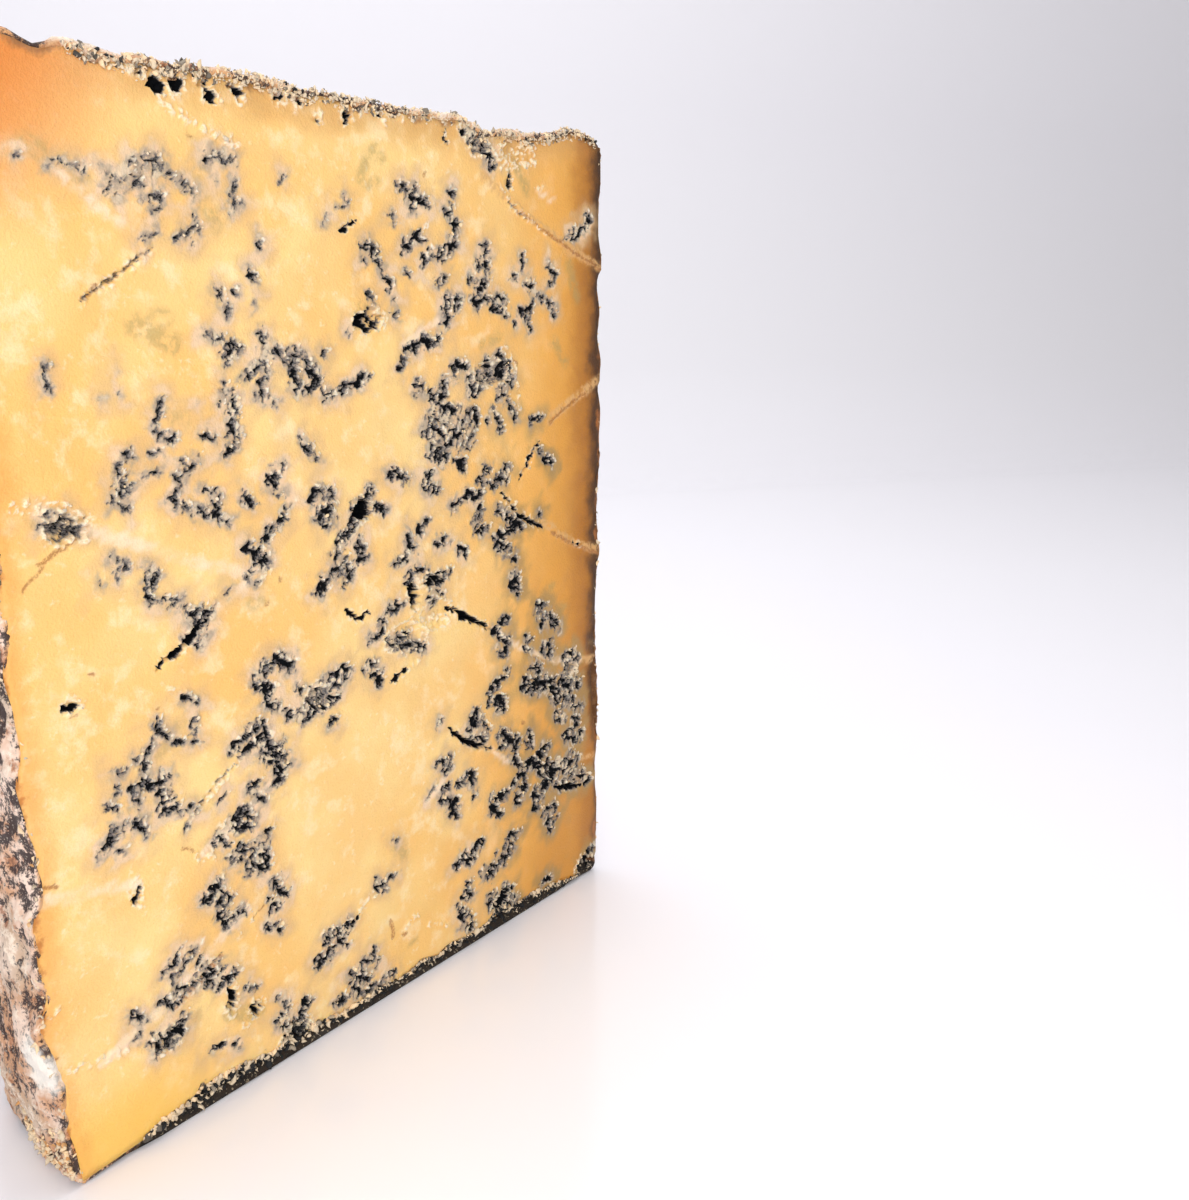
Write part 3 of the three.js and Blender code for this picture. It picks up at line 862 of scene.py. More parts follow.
def face_relief(x, z):
    """How far the cut face lies behind its plane, and its fields. The wire's wander and
    torn curd come first, then pits of mould beside raised lips, cracks and holes."""
    mould, reach, grain = mould_at(x, z)
    beyond, _, _ = mould_at(x - 0.95, z - 0.6)
    ragged = swirl(x, z, 1.2, 12) + 0.5 * swirl(x, z, 0.7, 13)
    pit = rise(0.30, 0.62, mould)
    # The lip: curd raised on the upper right of each pit. Its pale colour is partly torn curd and
    # partly a painted highlight on the side that faces the light.
    lip_and_highlight = np.clip(rise(0.35, 0.6, beyond) - pit, 0, 1) * rise(-0.3, 0.3, ragged)
    depth, lining, rim = opening_fields(x, z)
    band = band_at(x, z)
    bloom = rise(1.8, -0.8, reach + 1.2 * swirl(x, z, 2.2, 11) + 0.6 * ragged)
    halo = rise(6.4, -1.2, reach + 2.6 * swirl(x, z, 4.6, 10) + 1.2 * swirl(x, z, 2.0, 19))
    greened = halo * rise(20, 75, x) * rise(210, 130, z)
    pale = stain(x, z, SMOOTH_TRACKS, 1.1)
    track = stain(x, z, NEEDLE_TRACKS, 0.9)
    crumbled = stain(x, z, CRUMBLED_SEAMS, 0.7)
    rim = np.maximum(rim * rise(-0.5, 0.3, ragged), crumbled * rise(-0.3, 0.4, ragged))
    y = WANDER * lumps(x, 0, z, 34, 6) - WANDER / 2 + TEAR * lumps(x, 0, z, 9, 7)
    y = np.maximum(y, -0.4) + 0.12 * swirl(x, z, 5.0, 14) + 0.06 * swirl(x, z, 1.9, 15)
    y += pit * (PIT + 0.3 * ragged) + bloom * (0.6 * grain - 0.35) * (1 - pit) - LIP * lip_and_highlight
    y += depth - RIM * rim * (0.6 + ragged)
    marks = CRUST_BACK * band * (1 + 1.2 * ragged) + DENT * pale - 0.7 * pale**3
    y += marks - RIDGE * track * (1 + ragged)
    fields = {
        "mould": np.clip(mould, 0, 1),
        "grain": grain,
        "lip_and_highlight": lip_and_highlight,
        "bloom": bloom,
        "halo": halo - greened,
        "greened": greened,
        "lining": lining,
        "rim": rim,
        "pale": pale,
        "track": track,
        "brown": stain(x, z, BROWN_TRACKS, 0.5),
        "olive": stain(x, z, OLIVE_PATCHES, 1.6),
        "band": band,
    }
    return y, fields


columns, rows = round(2 * WHEEL_RADIUS / SQUARE), round(WHEEL_HEIGHT / SQUARE)
split = np.zeros((rows, columns), bool)
for share_u, share_v in PROBES:
    probe_u, probe_v = (np.arange(columns) + share_u) / columns, (np.arange(rows) + share_v) / rows
    _, at_probe = face_relief(*face_xz(*np.meshgrid(probe_u, probe_v)))
    for name, from_value in NEEDS_SPLIT.items():
        split |= at_probe[name] > from_value
split[[0, -1], :] = False
split[:, [0, -1]] = False

# Every point has a number on the finest grid, and a plain square uses only its corners.
wide = columns * SPLIT + 1
fine_row, fine_col = np.nonzero(np.kron(split, np.ones((SPLIT, SPLIT), bool)))
fine = fine_row * wide + fine_col
quads = np.stack([fine, fine + 1, fine + wide + 1, fine + wide], 1)

# Round a plain square run its corners, and between them the points that it shares with
# a split neighbour. With any of those it becomes a fan of triangles about its middle.
row, col = np.nonzero(~split)
start = SPLIT * (row * wide + col)
bordered = np.pad(split, 1)
ring, used = [], []
for turn in range(4):
    along = (1, wide, -1, -wide)[turn]
    corner = SPLIT * (0, 1, 1 + wide, wide)[turn]
    next_row, next_col = ((0, 1), (1, 2), (2, 1), (1, 0))[turn]
    shares = bordered[row + next_row, col + next_col]
    for k in range(SPLIT):
        ring.append(start + corner + k * along)
        used.append(shares | (k == 0))
ring, used = np.stack(ring, 1), np.stack(used, 1)
is_fan = used.sum(1) > 4
plain = ring[~is_fan][:, ::SPLIT]
fan_size = used[is_fan].sum(1)
fan_from = ring[is_fan][used[is_fan]]
fan_end = np.cumsum(fan_size) - 1
fan_to = np.roll(fan_from, -1)
fan_to[fan_end] = fan_from[fan_end - fan_size + 1]
hub = np.repeat(start[is_fan] + (SPLIT // 2) * (wide + 1), fan_size)
fans = np.stack([hub, fan_from, fan_to], 1)

quads = np.concatenate([quads, plain])
kept, renumbered = np.unique(np.concatenate([quads.ravel(), fans.ravel()]), return_inverse=True)
quads, fans = renumbered[: quads.size].reshape(-1, 4), renumbered[quads.size :].reshape(-1, 3)
face_x, face_z = face_xz((kept % wide) / (columns * SPLIT), (kept // wide) / (rows * SPLIT))
face_y, fields = face_relief(face_x, face_z)

# The body behind: the face's border, carried round the half drum ring by ring.
across, upward = np.arange(columns) * SPLIT, np.arange(rows) * SPLIT * wide
top_right = kept[-1]
right, left = upward + columns * SPLIT, top_right - columns * SPLIT - upward
border = np.searchsorted(kept, np.concatenate([across, right, top_right - across, left]))
turn = np.concatenate([[0.015, 0.03], np.linspace(0.06, 0.47 * np.pi, BACK_RINGS)])[:, None]
sunk = rise(0, 0.06, turn)
back_r = radius_at(np.where(face_x[border] < 0, np.pi, 0.0), face_z[border]) - BODY_IN
back_x = face_x[border] * np.cos(turn) * (1 - sunk * BODY_IN / WHEEL_RADIUS)
back_y = back_r * np.sin(turn) + face_y[border] * np.cos(turn)
back_z = mix(face_z[border], np.clip(face_z[border], 4, WHEEL_HEIGHT - BODY_IN), sunk)
front = np.stack([face_x, face_y, face_z], 1)
points = np.concatenate([front, np.stack([back_x, back_y, back_z], 2).reshape(-1, 3)])
loops = np.concatenate([border[None], len(front) + np.arange(back_x.size).reshape(back_x.shape)])
after = np.roll(loops, -1, axis=1)
wall = np.stack([loops[:-1], loops[1:], after[1:], after[:-1]], 2).reshape(-1, 4)
corners = np.concatenate([quads.ravel(), fans.ravel(), wall.ravel(), loops[-1]])
totals = np.repeat([4, 3, 4, len(border)], [len(quads), len(fans), len(wall), 1])
fields = {name: np.pad(values, (0, back_x.size)) for name, values in fields.items()}
x, z = points[:, 0], points[:, 2]
fields["from_rind"] = np.maximum(np.minimum(x + radius_at(np.pi, z), radius_at(0, z) - x), 0)
fields["from_far_rind"] = np.maximum(radius_at(0, z) - x, 0) + 3.5 * rise(75, 45, z)
fields["from_crown"] = crown_at(x, 0) - z
# Reach towards the far edge, where the paste is darkened partly by drying near the rind and partly
# by painted shade.
fields["far_browning_and_shade"] = np.maximum(fields["from_far_rind"] + 0.12 * (z - 130), 0)
fields["tanned"] = rise(1.25, 0.1, np.hypot((x + 108) / 46, (z - 246) / 44))
fields["buttery"] = rise(30, 4, z) * rise(-45, -85, x)


def linear(hex_colour):
    """An sRGB hex colour as linear red, green and blue, with full alpha."""
    parts = [int(hex_colour[i : i + 2], 16) / 255 for i in (1, 3, 5)]
    return (*[c / 12.92 if c <= 0.04045 else ((c + 0.055) / 1.055) ** 2.4 for c in parts], 1.0)


def add(kind, inputs, output=0, **settings):
    """Adds a node to the material in hand with its settings, gives each input its value
    or the output that it is linked to, and returns one output."""
    made = tree.nodes.new(kind)
    for name, value in settings.items():
        setattr(made, name, value)
    for name, value in inputs.items():
        if isinstance(value, bpy.types.NodeSocket):
            tree.links.new(value, made.inputs[name])
        else:
            made.inputs[name].default_value = value
    return made.outputs[output]


def per_mm(size):
    """A noise's scale, for lumps about that many millimetres across."""
    return 1000 / size


def new_finish(name):
    """A new material, its node tree and its shader."""
    made = bpy.data.materials.new(name)
    made.use_nodes = True
    return made, made.node_tree, made.node_tree.nodes["Principled BSDF"]


# Ripe blue cheese paste, cut with a wire: milk fat in a web of protein. Light goes a few
# millimetres in and comes back warm, so it is soft and softly glossy. It is cream to gold,
# deeper where it has dried near the rind, darker towards the far edge partly from that
# drying and partly as painted shade, and blue-black only where mould has fruited.
paste, tree, shader = new_finish("blue_cheese_paste")
place = add("ShaderNodeTexCoord", {}, "Object")
read = {name: add("ShaderNodeAttribute", {}, "Fac", attribute_name=name) for name in fields}
grain = {}
for size, detail in ((60, 2.0), (24, 4.0), (7, 5.0), (2.4, 4.0), (1.6, 3.0), (0.7, 4.0)):
    noise = {"Vector": place, "Scale": per_mm(size), "Detail": detail, "Roughness": 0.6}
    grain[size] = add("ShaderNodeTexNoise", noise, "Fac")
wander = add("ShaderNodeMath", {0: grain[7], 1: 10.0}, operation="MULTIPLY")
near_rind, far_rim_brown_and_shade, near_crown, far_browning_and_shade = (
    add("ShaderNodeMath", {0: read[name], 1: wander}, operation="ADD")
    for name in ("from_rind", "from_far_rind", "from_crown", "far_browning_and_shade")
)
grain_in_bloom = add("ShaderNodeMath", {0: read["grain"], 1: read["bloom"]}, operation="MULTIPLY")
pale_in_halo = add("ShaderNodeMath", {0: grain[7], 1: read["halo"]}, operation="MULTIPLY")

# Layers of colour from the plain paste up: what drives the layer, the values where it
# starts and where it is full, how strong it gets, how grain breaks it, and its colour.
LAYERS = (
    (grain[24], 0.34, 0.66, 1.0, None, "#fbd993"),
    (grain[60], 0.44, 0.62, 0.6, None, "#f4bd66"),
    (grain[7], 0.50, 0.70, 0.58, None, "#ffe9bd"),
    (grain[2.4], 0.60, 0.76, 0.45, None, "#fff1cf"),
    # Painted shade, with browning where the paste dried: it darkens broadly towards the far edge.
    (far_browning_and_shade, 88.0, 22.0, 0.95, None, "#eaa948"),
    (far_browning_and_shade, 46.0, 12.0, 0.85, None, "#cf8f3a"),
    (read["buttery"], 0.0, 1.0, 0.85, None, "#fbc75f"),
    (near_rind, 13.0, 6.5, 0.60, None, "#eda550"),
    (near_crown, 17.0, 8.0, 0.70, None, "#d5a362"),
    (read["tanned"], 0.0, 0.4, 0.60, None, "#eeb878"),
    (read["tanned"], 0.1, 0.9, 0.90, None, "#df8639"),
    # Painted shade, with the dried crust's brown: deep brown to near black by the far rind.
    (far_rim_brown_and_shade, 25.0, 11.5, 0.75, None, "#a5661f"),
    (far_rim_brown_and_shade, 14.0, 7.2, 0.95, None, "#46290f"),
    (near_rind, 6.6, 5.0, 0.85, None, "#b8702f"),
    (near_crown, 7.8, 5.8, 0.75, None, "#9a6a40"),
    (read["olive"], 0.0, 1.0, 0.60, grain[2.4], "#b0985f"),
    (read["greened"], 0.0, 0.8, 0.85, None, "#ac8c55"),
    (read["halo"], 0.0, 1.0, 0.72, None, "#d9b583"),
    (pale_in_halo, 0.30, 0.54, 0.75, None, "#eccfae"),
    (read["pale"], 0.1, 0.9, 0.70, grain[7], "#fbe3c6"),
    (read["track"], 0.1, 0.9, 0.85, grain[1.6], "#dcae72"),
    (read["bloom"], 0.0, 1.0, 0.82, grain[2.4], "#aa9c8a"),
    (grain_in_bloom, 0.40, 0.9, 0.66, None, "#e9d6b8"),
    (read["brown"], 0.1, 0.9, 0.75, grain[0.7], "#9c5f2b"),
    (read["rim"], 0.1, 0.8, 0.95, grain[0.7], "#f7e6c8"),
    # Painted highlight, in part: the lips on the upper right of the mould, also pale torn curd.
    (read["lip_and_highlight"], 0.1, 0.7, 1.0, grain[0.7], "#f0e6d2"),
)
colour = linear("#f8cd84")
for source, start, full, most, breaker, over in LAYERS:
    share = {"Value": source, "From Min": start, "From Max": full, "To Max": most}
    share = add("ShaderNodeMapRange", share, interpolation_type="SMOOTHSTEP")
    if breaker:
        broken = {"Value": breaker, "From Min": 0.36, "From Max": 0.56, "To Min": 0.25}
        broken = add("ShaderNodeMapRange", broken, interpolation_type="SMOOTHSTEP")
        share = add("ShaderNodeMath", {0: share, 1: broken}, operation="MULTIPLY")
    colour = add("ShaderNodeMix", {0: share, 6: colour, 7: linear(over)}, 2, data_type="RGBA")

# The mould itself: slate where it is thin, blue-black where it is thick. Fine grain frays
# its edge and leaves pale flecks in the lining of an opening and in the lower crust.
fray = {"Value": grain[0.7], "From Min": 0.3, "From Max": 0.7, "To Min": -0.2, "To Max": 0.2}
fray = add("ShaderNodeMapRange", fray)
flecked = {"Value": grain[1.6], "From Min": 0.36, "From Max": 0.62, "To Min": 1.25, "To Max": 0.1}
flecked = add("ShaderNodeMapRange", flecked)
inside = add("ShaderNodeMath", {0: read["lining"], 1: 1.2}, operation="MULTIPLY")
crust = add("ShaderNodeMath", {0: read["band"], 1: flecked}, operation="MULTIPLY")
thick = add("ShaderNodeMath", {0: read["mould"], 1: inside}, operation="MAXIMUM")
thick = add("ShaderNodeMath", {0: thick, 1: crust}, operation="MAXIMUM")
some = add("ShaderNodeMapRange", {"Value": thick, "From Min": 0.02, "From Max": 0.25})
fray = add("ShaderNodeMath", {0: fray, 1: some}, operation="MULTIPLY")
thick = add("ShaderNodeMath", {0: thick, 1: fray}, operation="ADD")
for start, full, over in ((0.06, 0.50, "#706c6b"), (0.36, 0.68, "#101215")):
    share = {"Value": thick, "From Min": start, "From Max": full}
    share = add("ShaderNodeMapRange", share, interpolation_type="SMOOTHSTEP")
    colour = add("ShaderNodeMix", {0: share, 6: colour, 7: linear(over)}, 2, data_type="RGBA")

tree.links.new(colour, shader.inputs["Base Color"])
# Mould is a felt of threads and spores, so it gives hardly any highlight.
felt = {"Value": share, "To Min": 0.45, "To Max": 0.04}
tree.links.new(add("ShaderNodeMapRange", felt), shader.inputs["Specular IOR Level"])
gloss = {"Value": grain[7], "From Min": 0.3, "From Max": 0.7, "To Min": 0.45, "To Max": 0.62}
tree.links.new(add("ShaderNodeMapRange", gloss), shader.inputs["Roughness"])
shader.inputs["IOR"].default_value = 1.45
shader.inputs["Subsurface Weight"].default_value = 0.25
shader.inputs["Subsurface Radius"].default_value = (1.0, 0.55, 0.25)
shader.inputs["Subsurface Scale"].default_value = 0.0025
torn = add("ShaderNodeMath", {0: grain[0.7], 1: grain[2.4]}, operation="ADD")
bump = add("ShaderNodeBump", {"Height": torn, "Strength": 0.5, "Distance": 0.0005}, "Normal")
tree.links.new(bump, shader.inputs["Normal"])


def add_piece(name, points, corners, totals, material, fields):
    """A piece of the cheese as a mesh: points in millimetres on the wheel, each face's
    corners in one long list with how many belong to each, and point attributes."""
    mesh = bpy.data.meshes.new(name)
    in_frame = 0.001 * (points + np.array([AXIS_X, FACE_Y, 0.0]))
    mesh.vertices.add(len(points))
    mesh.vertices.foreach_set("co", in_frame.astype(np.float32).ravel())
    mesh.loops.add(len(corners))
    mesh.loops.foreach_set("vertex_index", corners.astype(np.int32))
    mesh.polygons.add(len(totals))
    first = np.cumsum(totals) - totals
    mesh.polygons.foreach_set("loop_start", first.astype(np.int32))
    mesh.polygons.foreach_set("use_smooth", np.ones(len(totals), bool))
    mesh.update(calc_edges=True)
    for field, values in fields.items():
        attribute = mesh.attributes.new(field, "FLOAT", "POINT")
        attribute.data.foreach_set("value", values.astype(np.float32))
    mesh.materials.append(material)
    piece = bpy.data.objects.new(name, mesh)
    bpy.context.scene.collection.objects.link(piece)
    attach(piece, "root")
    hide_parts("cheese")


add_piece("paste", points, corners, totals, paste, fields)


# ---- The rind -------------------------------------------------------------------------
# The wheel's own skin, about 3 mm thick: rubbed smooth by hand when young, then dried,
# wrinkled and overgrown with grey, brown and white moulds. A shell round the half drum,
# cut through with the paste, so its edge shows all round the face.

RIND_THICK = 3.2
RIND_CRAG, RIND_GRAIN = 2.6, 1.3  # depth of its lumps, large and small
RIM_CALM = 0.35  # share of both that is left at the two rims
SIDE_ROWS, CROWN_ROWS, FOOT_ROWS = 290, 40, 10
NEAR_EDGE_COLUMNS, SIDE_COLUMNS, BACK_COLUMNS = 66, 160, 25
NEAR_EDGE = math.radians(28)  # how far round from the cut the first of them lie
CUT_STEPS = 5  # across the rind's cut edge


def crags(x, y, z):
    """Relief of the rind past its rough form, in millimetres outwards: wrinkles that run
    into each other, with lumps of two sizes over them, down to a millimetre across."""
    turned_x, turned_y = 0.8 * x + 0.6 * y, 0.8 * y - 0.6 * x
    big = lumps(turned_x, turned_y, z, 6.5, 21)
    shift = 1.8 * big
    wrinkle = 1 - 2.4 * np.abs(lumps(turned_x + shift, turned_y, z + shift, 3.6, 22))
    small = lumps(turned_x, turned_y + shift, z - shift, 2.2, 23)
    tiny = lumps(x + small, y, z + small, 1.3, 24)
    return 0.35 * big + 0.42 * wrinkle + 0.34 * small + 0.22 * tiny - 0.2


def rind_point(angle, profile, inward):
    """A point of the rind, that far in from its rough surface. The profile runs from 0 at
    the middle of the foot to 1 at its rim, to 2 up the side, and to 3 at the crown's
    middle. The side has the wheel's radius, rounded at both rims, and two sizes of lump."""
    angle, profile = np.broadcast_arrays(angle, profile)
    share = np.clip(profile - 1, 0, 1)
    height = share * WHEEL_HEIGHT
    foot_in, crown_in = (
        rim * (1 - np.sqrt(1 - (1 - np.clip(gap / rim, 0, 1)) ** 2))
        for rim, gap in ((FOOT_RIM, height), (CROWN_RIM, WHEEL_HEIGHT - height))
    )
    r = radius_at(angle, height) - foot_in - crown_in
    x, y = r * np.cos(angle), r * np.sin(angle)
    z = mix(foot_at(x, y), crown_at(x, y), share)
    rough = RIND_CRAG * lumps(x, y, z, 19, 8) + RIND_GRAIN * lumps(x, y, z, 7, 9)
    rough = mix(ragged_at(x, y, z), rough, rise(0, 0.09, np.sin(angle)))
    r = r + rough * mix(RIM_CALM, 1, np.minimum(1, 8 * share * (1 - share)))
    on_end = (profile < 1) | (profile > 2)
    disc = np.where(profile < 1, profile, np.where(profile > 2, 3 - profile, 1.0))
    r = (r - np.where(on_end, 0, inward)) * disc
    x, y = r * np.cos(angle), r * np.sin(angle)
    low = np.where(disc > 0.86, foot_at(x, y), 0) + inward
    high = crown_at(x, y) - inward
    z = np.where(profile < 1, low, np.where(profile > 2, high, np.clip(z, low, high)))
    return x, y, z


# Rows of the profile, and columns round the side from the far edge to the near one.
up = np.linspace(0, 1, SIDE_ROWS + 1)
rims = np.array([0.3 * FOOT_RIM, WHEEL_HEIGHT - 0.3 * CROWN_RIM]) / WHEEL_HEIGHT
up = np.sort(np.concatenate([up, rims]))
foot_part = np.linspace(0, 1, FOOT_ROWS + 1)[:-1]
crown_part = np.linspace(3, 2, CROWN_ROWS + 1)[:-1]
profile = np.concatenate([foot_part, 1 + up, crown_part[::-1]])[:, None]
near_from = np.pi - NEAR_EDGE
far_part = np.linspace(0, near_from, SIDE_COLUMNS)[:-1]
near_part = np.linspace(near_from, np.pi, NEAR_EDGE_COLUMNS)
round_it = np.concatenate([far_part, near_part])[None]
inside_round = np.linspace(np.pi, 0, BACK_COLUMNS)[None, 1:-1]

outer_x, outer_y, outer_z = rind_point(round_it, profile, 0.0)
crag = crags(outer_x, outer_y, outer_z)
reach_out = np.hypot(outer_x, outer_y) + 1e-6
on_side, on_crown = (profile >= 1) & (profile <= 2), profile > 2
grow = np.where(on_side, crag / reach_out, 0)
outer_x, outer_y = outer_x * (1 + grow), outer_y * (1 + grow)
outer_z = outer_z + np.where(on_crown, crag * np.clip(reach_out / 12, 0, 1), 0)
inner = rind_point(inside_round, profile, RIND_THICK)

# The cut edge of the rind, on both sides of the face and over its top and bottom: from
# the surface in, crumbled and then sinking behind the paste.
across = np.linspace(0, 1, CUT_STEPS + 2)[None, 1:]
edges = []
for column, angle in ((-1, np.pi), (0, 0.0)):
    inside_x, _, inside_z = rind_point(np.array([[angle]]), profile, RIND_THICK)
    x = mix(outer_x[:, [column]], inside_x, across)
    z = mix(outer_z[:, [column]], inside_z, across)
    crumbled = 0.55 * lumps(x, 3, z, 2.1, 25) + 0.35 * lumps(x, 5, z, 1.1, 26) - 0.25
    edges.append((x, crumbled * (1 - across) + 1.5 * across**2, z))
near_edge, far_edge = edges[0], [side[:, ::-1] for side in edges[1]]
outer = outer_x, outer_y, outer_z
rind_x, rind_y, rind_z = (
    np.concatenate(parts, 1) for parts in zip(outer, near_edge, inner, far_edge)
)
relief = np.concatenate([crag, crags(*near_edge), 0 * inner[0], crags(*far_edge)], 1)
cut = np.zeros(relief.shape)
cut[:, [-1, crag.shape[1]]] = 0.6
cut[:, crag.shape[1] + 1 : -1] = 1
# The underside of the lower crust is painted black along the cut, partly blackened crust and
# partly painted shade in the gap under its lifted edge. The far cut edge is painted dark brown,
# partly dried crust and partly painted shade.
black_and_shade = rise(18, 7, rind_y) * rise(1.02, 1.0, profile) * rise(-92, -80, rind_x)
brown = cut * rise(60, 90, rind_x) * (1 - black_and_shade)
powder = bell(rind_z - 31, 9) * bell(rind_y - 4, 7) * (rind_x < 0)

# Points that lie in one place, as at both poles, become one, and what that flattens goes.
grid = np.arange(rind_x.size).reshape(rind_x.shape)
beside_it = np.roll(grid, -1, axis=1)
a, b, c, d = grid[:-1], beside_it[:-1], beside_it[1:], grid[1:]
halves = (np.stack(three, 2).reshape(-1, 3) for three in ((a, b, c), (a, c, d)))
faces = np.concatenate(list(halves))
points = np.round(np.stack([rind_x, rind_y, rind_z], 2).reshape(-1, 3), 4)
points, first, index = np.unique(points, axis=0, return_index=True, return_inverse=True)
faces = index.reshape(-1)[faces]
flat = (faces[:, 0] == faces[:, 1]) | (faces[:, 1] == faces[:, 2]) | (faces[:, 2] == faces[:, 0])
faces = faces[~flat]
attributes = {"relief": relief, "cut": cut, "black_and_shade": black_and_shade, "brown": brown, "powder": powder}
attributes = {name: values.ravel()[first] for name, values in attributes.items()}

# Dried rind with wild moulds: a matt, dusty crust. Its ground is pinkish cream and tan,
# charcoal sits in its wrinkles where the relief is low, its crests are white, partly white
# mould and partly painted highlight, and it is orange-brown where the skin has been rubbed.
rind, tree, shader = new_finish("dried_mouldy_rind")
place = add("ShaderNodeTexCoord", {}, "Object")
height, at_cut, black_crust_and_shade, far_edge_brown_and_shade, powdered = (
    add("ShaderNodeAttribute", {}, "Fac", attribute_name=name) for name in attributes
)
grain = {}
for size, detail in ((45, 3.0), (16, 4.0), (5, 4.0), (2.4, 5.0), (0.9, 4.0)):
    noise = {"Vector": place, "Scale": per_mm(size), "Detail": detail, "Roughness": 0.65}
    grain[size] = add("ShaderNodeTexNoise", noise, "Fac")
# What drives two of the layers: charcoal where the relief is low, and white on what stands
# proud, partly powder and partly painted highlight.
crest = add("ShaderNodeMath", {0: grain[45], 1: 2.2}, operation="MULTIPLY")
crest = add("ShaderNodeMath", {0: height, 1: crest}, operation="ADD")
patchy = add("ShaderNodeMath", {0: grain[2.4], 1: grain[0.9]}, operation="ADD")
patchy = add("ShaderNodeMath", {0: patchy, 1: 2.6}, operation="MULTIPLY")
pits = add("ShaderNodeMath", {0: patchy, 1: crest}, operation="SUBTRACT")
crest_powder_and_highlight = add("ShaderNodeMath", {0: patchy, 1: crest}, operation="ADD")
flecks = add("ShaderNodeMath", {0: grain[0.9], 1: black_crust_and_shade}, operation="MULTIPLY")
powder = add("ShaderNodeMath", {0: grain[5], 1: powdered}, operation="MULTIPLY")
# Layers of colour from the ground up: what drives the layer, the values where it starts
# and where it is full, how strong it gets, and its colour.
LAYERS = (
    (grain[16], 0.42, 0.60, 0.85, "#cb9468"),
    (grain[45], 0.50, 0.62, 0.7, "#c9b6a0"),
    (at_cut, 0.0, 0.9, 0.80, "#e0aa72"),
    (grain[5], 0.54, 0.64, 0.7, "#a9683f"),
    # White on the crests of the relief: partly white mould, partly painted highlight.
    (crest_powder_and_highlight, 3.80, 4.60, 0.90, "#f8e8d6"),
    (pits, 1.42, 1.92, 0.94, "#2a2026"),
    (grain[5], 0.62, 0.70, 0.50, "#4a3835"),
    (grain[0.9], 0.58, 0.72, 0.55, "#f9ebdb"),
    (powder, 0.16, 0.40, 0.92, "#fdf8ef"),
    # Painted shade, with the dried crust's brown: the far cut edge of the rind.
    (far_edge_brown_and_shade, 0.0, 0.9, 0.90, "#5d3917"),
    # Painted shade, in part: the lower crust's underside by the cut, also black crust.
    (black_crust_and_shade, 0.0, 0.7, 0.97, "#15120f"),
    (flecks, 0.58, 0.70, 0.85, "#cdbb9c"),
)
colour = linear("#f5dccb")
for source, start, full, most, over in LAYERS:
    share = {"Value": source, "From Min": start, "From Max": full, "To Max": most}
    share = add("ShaderNodeMapRange", share, interpolation_type="SMOOTHSTEP")
    colour = add("ShaderNodeMix", {0: share, 6: colour, 7: linear(over)}, 2, data_type="RGBA")
tree.links.new(colour, shader.inputs["Base Color"])
shader.inputs["Roughness"].default_value = 0.88
shader.inputs["IOR"].default_value = 1.45
dust = add("ShaderNodeMath", {0: grain[0.9], 1: grain[2.4]}, operation="ADD")
bump = add("ShaderNodeBump", {"Height": dust, "Strength": 0.7, "Distance": 0.0007}, "Normal")
tree.links.new(bump, shader.inputs["Normal"])

add_piece("rind", points, faces.ravel(), np.full(len(faces), 3), rind, attributes)


# ---- Crumbs and flakes ----------------------------------------------------------------
# The wire drags crumbs out of the crumbly seams and flakes off the dry crust. They stick
# to the moist face: curd crumbs along the mould, crust flakes all round the rim.


def crumb_mesh(centres, sizes, uneven, curl, rings, around, draw):
    """Crumbs as one mesh. Each is a ball of rings of points between two poles, pushed in
    and out at random, stretched to its three sizes, bent up at its ends by its curl, and
    turned any way round."""
    down = np.pi * np.repeat(np.arange(1, rings + 1), around) / (rings + 1)
    turn = 2 * np.pi * np.tile(np.arange(around), rings) / around
    ball = np.stack([np.sin(down) * np.cos(turn), np.sin(down) * np.sin(turn), np.cos(down)], 1)
    ball = np.concatenate([ball, [[0, 0, 1], [0, 0, -1]]])
    count, size = len(centres), len(ball)
    shapes = ball * sizes[:, None, :] * draw.uniform(1 - uneven, 1 + uneven, (count, size, 1))
    shapes[..., 2] += curl * shapes[..., 0] ** 2 / sizes[:, :1]
    q = draw.normal(size=(count, 4))
    w, i, j, k = (q / np.linalg.norm(q, axis=1, keepdims=True)).T
    turned = np.array(
        [
            [1 - 2 * (j * j + k * k), 2 * (i * j - k * w), 2 * (i * k + j * w)],
            [2 * (i * j + k * w), 1 - 2 * (i * i + k * k), 2 * (j * k - i * w)],
            [2 * (i * k - j * w), 2 * (j * k + i * w), 1 - 2 * (i * i + j * j)],
        ]
    )
    points = np.einsum("abn,nva->nvb", turned, shapes) + centres[:, None, :]
    ring = np.arange(rings * around).reshape(rings, around)
    beside_it = np.roll(ring, -1, axis=1)
    a, b, c, d = ring[:-1].ravel(), ring[1:].ravel(), beside_it[1:].ravel(), beside_it[:-1].ravel()
    top, bottom = np.full(around, size - 2), np.full(around, size - 1)
    faces = np.concatenate(
        [
            np.stack([top, ring[0], beside_it[0]], 1),
            np.stack([a, b, c], 1),
            np.stack([a, c, d], 1),
            np.stack([ring[-1], bottom, beside_it[-1]], 1),
        ]
    )
    faces = faces[None] + size * np.arange(count)[:, None, None]
    return points.reshape(-1, 3), faces.reshape(-1, 3)


